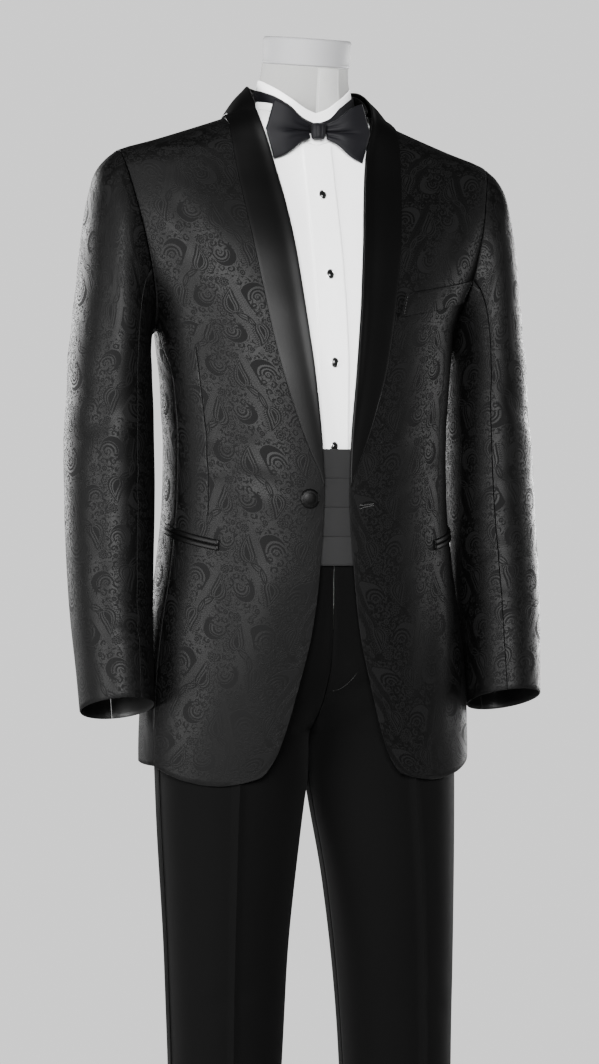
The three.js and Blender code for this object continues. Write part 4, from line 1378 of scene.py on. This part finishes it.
def stitches(name, finish, slot, path, long, gap, radius):
    """A row of short threads along a path of points and outward directions."""
    points, outward = path
    far = run_lengths(points[None], 1)[0]
    total, faces, body = far[-1], [], []
    sides, spans = STITCH.sides, len(STITCH.along) - 1
    ring = circle(sides)
    for start in np.arange(gap, total - long, long + gap):
        where = start + long * STITCH.along
        spine = np.stack([np.interp(where, far, points[:, k]) for k in range(3)], axis=-1)
        out = unit(np.stack([np.interp(where, far, outward[:, k]) for k in range(3)], axis=-1))
        along = unit(spine[-1:] - spine[:1])
        across = np.cross(along, out)
        size = radius * STITCH.size
        spine = spine + out * (radius * STITCH.rise)[:, None]
        base = len(body)
        for p, o, c, r in zip(spine, out, np.broadcast_to(across, out.shape), size):
            body += [p + r * (math.cos(a) * o + math.sin(a) * c) for a in ring]
        for j in range(spans):
            for i in range(sides):
                a, b = base + j * sides + i, base + j * sides + (i + 1) % sides
                faces.append((a, b, b + sides, a + sides))
        faces.append(tuple(base + i for i in range(sides)))
        faces.append(tuple(base + spans * sides + i for i in reversed(range(sides))))
    points = np.array(body)
    piece = mesh_piece(name, points, faces, points[:, [0, 2]], [finish], crisp=80)
    return placed(piece, slot)


def on_surface(surface, a, b, off, relief=None):
    """Points off a surface and its outward directions, for a row of stitches."""
    a, b = np.broadcast_arrays(np.asarray(a, float), np.asarray(b, float))
    out = normals(surface, a, b)
    points = surface(a, b)
    lift = relief(points) if relief else 0
    return points + out * np.reshape(off + lift, (-1, 1)), out


# Jacket

# Where each weave starts across, so that neighbours show other figures
WEAVE_FROM = {
    "front": 16, "side": 430, "back": 700, "sleeve_top": 900, "sleeve_under": 1300, "welt": 80,
}


def build_jacket():
    for side, mirror in SIDES:
        common = dict(mirror=mirror, relief=jacket_relief, inside=LINING)
        cloth(f"jacket_front_{side}", JACQUARD_FRONT, front_point, edged(0, 1, 56), BODY_ROWS,
              -CLOTH, 0, at=front_at, inward=armhole_inward, start=WEAVE_FROM["front"], **common)
        cloth(f"jacket_back_{side}", JACQUARD, back_point, edged(0, 1, 44), BODY_ROWS, -CLOTH, 0,
              at=back_at, inward=armhole_inward, turn=-1, start=WEAVE_FROM["back"], **common)
        side_rows = edged(HEM.low, ARM_BOTTOM - SHOULDER_STEP - 2 * SEAM, 90)
        cloth(f"jacket_side_{side}", JACQUARD, side_point, edged(0, 1, 18), side_rows, -CLOTH, 0,
              at=side_at, start=WEAVE_FROM["side"], **common)

        rings = np.concatenate([[0, 0.06], np.arange(0.2, 6, 0.12), np.linspace(6, CUFF, 62)])
        rings = np.insert(rings, len(rings) - 1, CUFF - 0.03)
        front, back = SLEEVE_SEAMS.front, SLEEVE_SEAMS.back
        turns = {
            "sleeve_top": edged(back + SLEEVE_GAP, front - SLEEVE_GAP, 62),
            "sleeve_under": edged(front + SLEEVE_GAP, 360 + back - SLEEVE_GAP, 42),
        }
        for name, angles in turns.items():
            cloth(f"{name}_{side}", JACQUARD, sleeve_point, angles, rings, -CLOTH, 0,
                  step=(1, 0.05), relief=sleeve_relief, mirror=mirror, inward=sleeve_inward,
                  inside=LINING, from_end=True, start=WEAVE_FROM[name])

        along = np.concatenate([edged(0, 1, 90)[:-2], np.linspace(1, 2, 60)])
        cloth(f"shawl_collar_{side}", SATIN, collar_point, edged(0, 1, 22), along,
              ON_FRONT, ON_FRONT + CLOTH, step=(0.02, 0.004), relief=collar_relief,
              mirror=mirror)
        cloth(f"collar_stand_{side}", JACQUARD, stand_point, edged(0, 1, 40), edged(0, 1, 8),
              -STAND_CLOTH, 0, step=(0.01, 0.02), mirror=mirror, flat=lambda t, h: t == 1)
        for order, name in enumerate(("hip_jet_lower", "hip_jet_upper")):
            build_jet(f"{name}_{side}", order, mirror)
    build_welt()
    build_button()
    build_buttonhole()


def strip_at(start, stop, low, rise, height):
    return lambda u, v: (lerp(start, stop, u), low + rise * u + height * v)


def build_jet(node, order, mirror):
    pocket = HIP_POCKET
    low = pocket.low + order * (pocket.jet + 2 * SEAM)
    cloth(node, SATIN, front_point, edged(0, 1, 40), edged(0, 1, 6, 0.9), ON_FRONT,
          ON_FRONT + JET_CLOTH, at=strip_at(pocket.inner, pocket.outer, low, pocket.rise, pocket.jet),
          relief=lambda p, u, v: jacket_relief(p) + 0.5 * np.sin(math.pi * v), mirror=mirror)


def build_welt():
    start, stop = [front_share(x, float(WELT.low)) for x in (WELT.inner, WELT.outer)]
    at = strip_at(start, stop, WELT.low, WELT.rise, WELT.height)
    cloth("chest_welt", JACQUARD, front_point, edged(0, 1, 40), edged(0, 1, 14), ON_FRONT,
          ON_FRONT + CLOTH, slot="jacquard", relief=jacket_relief, start=WEAVE_FROM["welt"], at=at)
    for name, u in (("inner", 0.025), ("outer", 0.975)):
        v = np.linspace(0.06, 0.94, 20)
        path = on_surface(front_point, *at(u, v), ON_FRONT + CLOTH, relief=jacket_relief)
        stitches(f"welt_stitch_{name}", BLACK_THREAD, "jacquard", path, long=2.0, gap=1.4, radius=0.22)


def spot(surface, a, b, off, mirror=False):
    """A point off a surface, its outward direction and two tangents."""
    a, b = np.array(a), np.array(float(b))
    out = normals(surface, a, b)
    point = surface(a, b) + out * off
    if mirror:
        point, out = point * FLIP, out * FLIP
    across = unit(np.cross([0, 0, 1], out))
    return point, out, across, np.cross(out, across)


def dome_rings(place, profile, wide, tall, sides, wobble=None):
    """Rings over a spot, for a profile of rises and sizes."""
    centre, out, across, up = place
    turn = circle(sides)
    rings = []
    for rise, size in profile:
        r = size * (1 + (wobble(turn, size) if wobble else 0))
        rings.append(
            centre + out * rise + np.outer(wide * r * np.cos(turn), across)
            + np.outer(tall * r * np.sin(turn), up)
        )
    return rings


# Profiles of the button, a stud and its rim: rise, size
BUTTON_PROFILE = [
    (0, 0.8), (0.5, 0.93), (1.3, 1.0), (2.1, 0.99), (3.0, 0.93), (3.8, 0.8), (4.1, 0.72),
    (3.95, 0.66), (4.25, 0.6), (4.7, 0.45), (4.95, 0.25), (5.0, 0.08),
]
GEM_PROFILE = [(0, 0.7), (0.9, 0.8), (1.3, 0.8), (2.0, 0.77), (2.6, 0.65), (3.0, 0.45), (3.2, 0.18)]
RIM_PROFILE = [(0, 0.86), (0.5, 0.97), (1.1, 1.0), (1.6, 0.97), (1.85, 0.9), (1.7, 0.82), (1.2, 0.8)]


def button_folds(angle, size):
    return 0.016 * np.sin(14 * angle) * smooth(size, 0.5, 0.95)


def build_button():
    """A shank button covered in satin, gathered at its back, with a crown of soft folds."""
    share = front_share(abs(BUTTON.x), BUTTON.z)
    place = spot(front_point, share, BUTTON.z, REST + 0.4, mirror=True)
    rings = dome_rings(place, BUTTON_PROFILE, BUTTON.radius, BUTTON.radius, 84, button_folds)
    placed(rings_piece("covered_button", rings, SATIN, crisp=80), "satin", "jacket_button")


def build_buttonhole():
    """A keyhole worked in thread on the wearer's left."""
    t = np.linspace(0, 1, 60)
    hole = BUTTONHOLE
    x = lerp(hole.inner, hole.outer, t)
    for k, gap in enumerate((-1.1, 1.1)):
        bulge = 1.2 * np.exp(-(((t - 0.08) / 0.08) ** 2)) * np.sign(gap)
        z = hole.z + hole.rise * t + gap + bulge
        path = on_surface(front_point, front_share(x, z), z, 0.0, relief=jacket_relief)
        stitches(f"buttonhole_{k + 1}", BLACK_THREAD, "satin", path, long=0.75, gap=0.12, radius=0.62)


# Shirt, studs and bow tie

def build_shirt():
    rows = np.concatenate([np.linspace(0, 0.52, 40), np.linspace(0.53, 1, 60)])
    for side, mirror in SIDES:
        for name, start in (("shirt_front", MIDDLE_GAP), ("shirt_back", 2 - MIDDLE_GAP)):
            cloth(f"{name}_{side}", SHIRT_COTTON, form_at, edged(0, 1, 40), rows, REST, SHIRT_TOP,
                  at=shirt_at(start), relief=shirt_relief, mirror=mirror, soft=0.6)
    base = SHIRT_TOP + 2 * REST
    cloth("shirt_placket", SHIRT_COTTON, form_at, edged(-1, 1, 14), rows, base, base + SHIRTING,
          slot="shirting", at=placket_at, relief=shirt_relief, soft=0.7)
    cloth("shirt_collar", SHIRT_COTTON, form_at, edged(-2 + MIDDLE_GAP, 2 - MIDDLE_GAP, 160),
          edged(0, 1, 12), REST, SHIRT_TOP, slot="shirting", at=collar_at, soft=0.8)
    v = np.linspace(0.02, 0.995, 400)
    for name, u in (("left", 0.86), ("right", -0.86)):
        a, b = placket_at(u, v)
        path = on_surface(form_at, a, b, base + SHIRTING, relief=shirt_relief)
        stitches(f"placket_stitch_{name}", WHITE_THREAD, "shirting", path, long=2.0, gap=0.9, radius=0.16)
    way = np.linspace(-1.98, 1.98, 400)
    a, b = collar_at(way, np.full(400, 0.9))
    path = on_surface(form_at, a, b, SHIRT_TOP)
    stitches("collar_stitch", WHITE_THREAD, "shirting", path, long=2.0, gap=0.9, radius=0.16)
    foot = base + SHIRTING + REST
    for i, z in enumerate(STUD.heights):
        place = spot(form_at, 0.0001, z, foot)
        gem = dome_rings(place, GEM_PROFILE, STUD.half, STUD.tall, 40)
        placed(rings_piece(f"stud_gem_{i + 1}", gem, ONYX, crisp=80), "onyx", f"stud_{i + 1}")
        rim = dome_rings(place, RIM_PROFILE, STUD.half, STUD.tall, 40)
        placed(rings_piece(f"stud_rim_{i + 1}", rim, RIM, crisp=80), "steel")


BOW_SIDE = table("s half", [[0, 9], [0.25, 14], [0.5, 23], [0.75, 30.5], [1, 35]])
# t of each fold, its width, its depth and how far it reaches
BOW_FOLDS = {
    1: [(0.02, 0.1, 2.4, 0.95), (0.46, 0.13, 1.5, 0.6), (-0.5, 0.14, 1.3, 0.5)],
    -1: [(-0.04, 0.1, 2.4, 0.9), (0.5, 0.14, 1.3, 0.5), (-0.44, 0.12, 1.5, 0.65)],
}


def bow_point(s, t):
    reach = lerp(BOW.corner, BOW.half, 1 - np.abs(t))
    x = lerp(KNOT.half + 2 * REST, reach, s)
    pinch = 3 * (1 - s) * (1 - smooth(np.abs(t), 0, 0.35))
    return xyz(x, BOW.y - 3 * np.sin(math.pi * s) + pinch, BOW.z + t * BOW_SIDE.half(s))


def bow_relief(points, s, t):
    """Folds that fan out from the knot and die away towards the ends."""
    side = 1 if points[..., 0].mean() > 0 else -1
    fan = 0.0
    for at, width, depth, reach in BOW_FOLDS[side]:
        fan = fan - depth * np.exp(-(((t - at) / width) ** 2)) * (1 - smooth(s, 0.2 * reach, reach))
    puff = 1.3 * np.sin(math.pi * np.clip(s, 0, 1)) * np.cos(t * math.pi / 2)
    return fan + puff


def build_bow():
    for side, mirror in SIDES:
        cloth(f"bow_wing_{side}", TIE_SILK, bow_point, edged(0, 1, 44), edged(-1, 1, 50),
              -BOW.thick / 2, BOW.thick / 2, step=(0.02, 0.05), relief=bow_relief,
              mirror=mirror, soft=2.2)
    turn = circle(72)
    rings = []
    for k in np.linspace(0, math.pi, 25):
        z = -math.cos(k) * KNOT.height / 2
        size = max(math.sin(k), 0.0) ** 0.35 * (1 + 0.05 * math.cos(2 * k + 0.6))
        x = KNOT.half * 0.97 * np.sign(np.cos(turn)) * np.abs(np.cos(turn)) ** 0.75
        y = KNOT.thick / 2 * np.sign(np.sin(turn)) * np.abs(np.sin(turn)) ** 0.8
        folds = 0.7 * np.exp(-(((x - 2.5) / 1.1) ** 2)) + 0.5 * np.exp(-(((x + 3.6) / 1.0) ** 2))
        y = y + np.where(y < 0, folds, 0) * abs(math.sin(k))
        rings.append(xyz(x * size, y * size + KNOT.y - KNOT.thick / 2 + 1, BOW.z + z))
    placed(rings_piece("tie_knot", rings, TIE_SILK, crisp=80), "tie_silk", "bow_knot")
    cloth("bow_band", TIE_SILK, form_at, edged(-2 + MIDDLE_GAP, 2 - MIDDLE_GAP, 160),
          np.linspace(0.3, 2 / 3, 6), SHIRT_TOP + 3 * REST, SHIRT_TOP + 3 * REST + 1,
          slot="tie_silk", at=collar_at, soft=0.5)


# Trousers, cummerbund and form's tape

def build_trousers():
    rows = edged(TROUSER_HEM, BAND.bottom - 2 * SEAM, 130)
    ridge = CREASE.at + CREASE.half * np.linspace(-1, 1, 9)
    columns = np.sort(np.concatenate([edged(0, 1, 44), ridge]))
    columns = columns[np.concatenate([[True], np.diff(columns) > 1e-6])]
    for side, mirror in SIDES:
        for name, ahead in (("trouser_front", True), ("trouser_back", False)):
            cloth(f"{name}_{side}", WOOL, trouser_surface(ahead), columns, rows, -CLOTH, 0,
                  turn=-1 if ahead else 1, step=(0.005, 2), relief=trouser_relief, mirror=mirror)
        cloth(f"side_stripe_{side}", SATIN, lambda t, z: leg_point(np.abs(t), z, t >= 0),
              edged(-STRIPE.half, STRIPE.half, 8), rows, REST + 0.15, REST + 0.15 + STRIPE.thick,
              turn=-1, relief=trouser_relief, mirror=mirror, soft=0.8)
    cloth("waistband", WOOL, lambda u, z: waist_point(around(u), z), edged(MIDDLE_GAP, 4 - MIDDLE_GAP, 120),
          edged(BAND.bottom, BAND.top, 10), -CLOTH, 0, slot="wool")
    build_fly()


def build_fly():
    """The fly's stitch runs down beside the middle seam and turns in to it in a J."""
    bend = np.linspace(0, math.pi / 2, 50)
    turned_in = FLY.inner + (FLY.outer - FLY.inner) * np.cos(bend)
    x = np.concatenate([np.full(90, float(FLY.outer)), turned_in])
    z = np.concatenate([np.linspace(FLY.top, FLY.bend, 90), FLY.bend - FLY.drop * np.sin(bend)])
    points = waist_point(share_at(x, LEG.outer(z), leg_power(z)), z)
    out = unit(xyz(x * 0.002, -1 + 0 * x, 0 * x))
    points = points + out * np.reshape(trouser_relief(points), (-1, 1))
    stitches("fly_stitch", BLACK_THREAD, "wool", (points, out), long=2.2, gap=0.9, radius=0.2)


def sash_lift(v, u):
    """Each fold swells out to its upper edge and laps over the foot of the one above."""
    share = v - np.floor(np.minimum(v, SASH.folds - 1e-6))
    return 1.5 * share**0.7 + 0.25 * np.sin(u * 9 + np.floor(v) * 2)


def build_sash():
    fold = (SASH.top - SASH.bottom) / SASH.folds
    steps = np.array([0, 0.02, 0.1, 0.25, 0.4, 0.55, 0.7, 0.82, 0.91, 0.955, 0.975])
    rows = np.concatenate([i + steps for i in range(SASH.folds)])
    cloth("sash_front", FAILLE, waist_point, edged(-SASH.side, SASH.side, 110), rows, SASH.off,
          SASH.off + CLOTH, slot="faille", soft=0.9,
          at=lambda u, v: (u, SASH.bottom + v * fold), relief=lambda p, u, v: sash_lift(v, u))
    middle = (SASH.top + SASH.bottom) / 2
    cloth("sash_strap", FAILLE, lambda u, z: waist_point(around(u), z),
          edged(SASH.side + 0.003, 4 - SASH.side - 0.003, 70),
          edged(middle - SASH.strap / 2, middle + SASH.strap / 2, 8), SASH.off,
          SASH.off + SHIRTING, slot="faille")


def build_tape():
    """A seam tape up the middle of the form's neck, stitched along both edges."""
    rows = np.linspace(1512, NECK_TOP - 1.2, 30)
    u, v = np.meshgrid(edged(0.0, 0.36, 8), rows)
    points, out = form_point(u, v), normals(form_point, u, v)
    outer, inner = points + out * 0.75, points + out * 0.1
    body, faces, _ = wall(outer, inner)
    uv = np.tile(laid_out(points), (2, 1))
    tape = placed(mesh_piece("neck_tape", body, faces, uv, [TAPE]), "linen")
    for k, way in enumerate((0.03, 0.33)):
        path = on_surface(form_point, np.full(60, way), np.linspace(1513, NECK_TOP - 2, 60), 0.75)
        stitches(f"tape_stitch_{k + 1}", WHITE_THREAD, "linen", path, long=1.8, gap=1.0, radius=0.15)


# The cut of each sheet: width, length, flat area in metres, how it is held, what it lies on
CUTS = {
    "jacket_front": (0.33, 0.79, 0.145, "hung", ["cloth_shirt_front_left"]),
    "jacket_side": (0.12, 0.52, 0.042, "hung", ["cloth_shirt_front_left"]),
    "jacket_back": (0.28, 0.78, 0.17, "hung", ["cloth_shirt_back_left"]),
    "sleeve_top": (0.24, 0.64, 0.13, "hung", ["cloth_jacket_front_left"]),
    "sleeve_under": (0.18, 0.52, 0.075, "hung", ["cloth_jacket_front_left"]),
    "shawl_collar": (0.08, 0.6, 0.03, "folded", ["cloth_jacket_front_left"]),
    "collar_stand": (0.045, 0.15, 0.0052, "folded", ["cloth_jacket_back_left"]),
    "hip_jet_lower": (0.014, 0.14, 0.0009, "folded", ["cloth_jacket_front_left"]),
    "hip_jet_upper": (0.014, 0.14, 0.0009, "folded", ["cloth_jacket_front_left"]),
    "shirt_front": (0.25, 0.58, 0.12, "hung", ["form_cover"]),
    "shirt_back": (0.26, 0.6, 0.14, "hung", ["form_cover"]),
    "bow_wing": (0.07, 0.055, 0.0026, "folded", ["cloth_bow_band"]),
    "trouser_front": (0.27, 1.03, 0.23, "hung", ["form_cover"]),
    "trouser_back": (0.3, 1.04, 0.245, "hung", ["form_cover"]),
    "side_stripe": (0.022, 1.0, None, "hung", ["cloth_trouser_front_left"]),
}
SINGLE_CUTS = {
    "chest_welt": (0.11, 0.028, None, "folded", ["cloth_jacket_front_left"]),
    "shirt_placket": (0.036, 0.56, None, "hung", ["cloth_shirt_front_left"]),
    "shirt_collar": (0.4, 0.04, None, "folded", ["form_cover"]),
    "bow_band": (0.4, 0.014, None, "folded", ["cloth_shirt_collar"]),
    "waistband": (0.88, 0.038, None, "hung", ["form_cover"]),
    "sash_front": (0.53, 0.136, None, "folded", ["cloth_waistband"]),
    "sash_strap": (0.34, 0.032, None, "stretched", ["cloth_waistband"]),
}


def declare_sheets():
    """Lists each sheet's cut, how it is held and what it lies on; nothing reads the list. A right one lies
    on the right ones below it, though the list names the left ones.
    """
    sheets = [(f"{name}_{side}", side, cut) for name, cut in CUTS.items() for side, _ in SIDES]
    sheets += [(name, "left", cut) for name, cut in SINGLE_CUTS.items()]


build_form()
build_stand()
build_tape()
build_jacket()
build_shirt()
build_bow()
build_trousers()
build_sash()
declare_sheets()
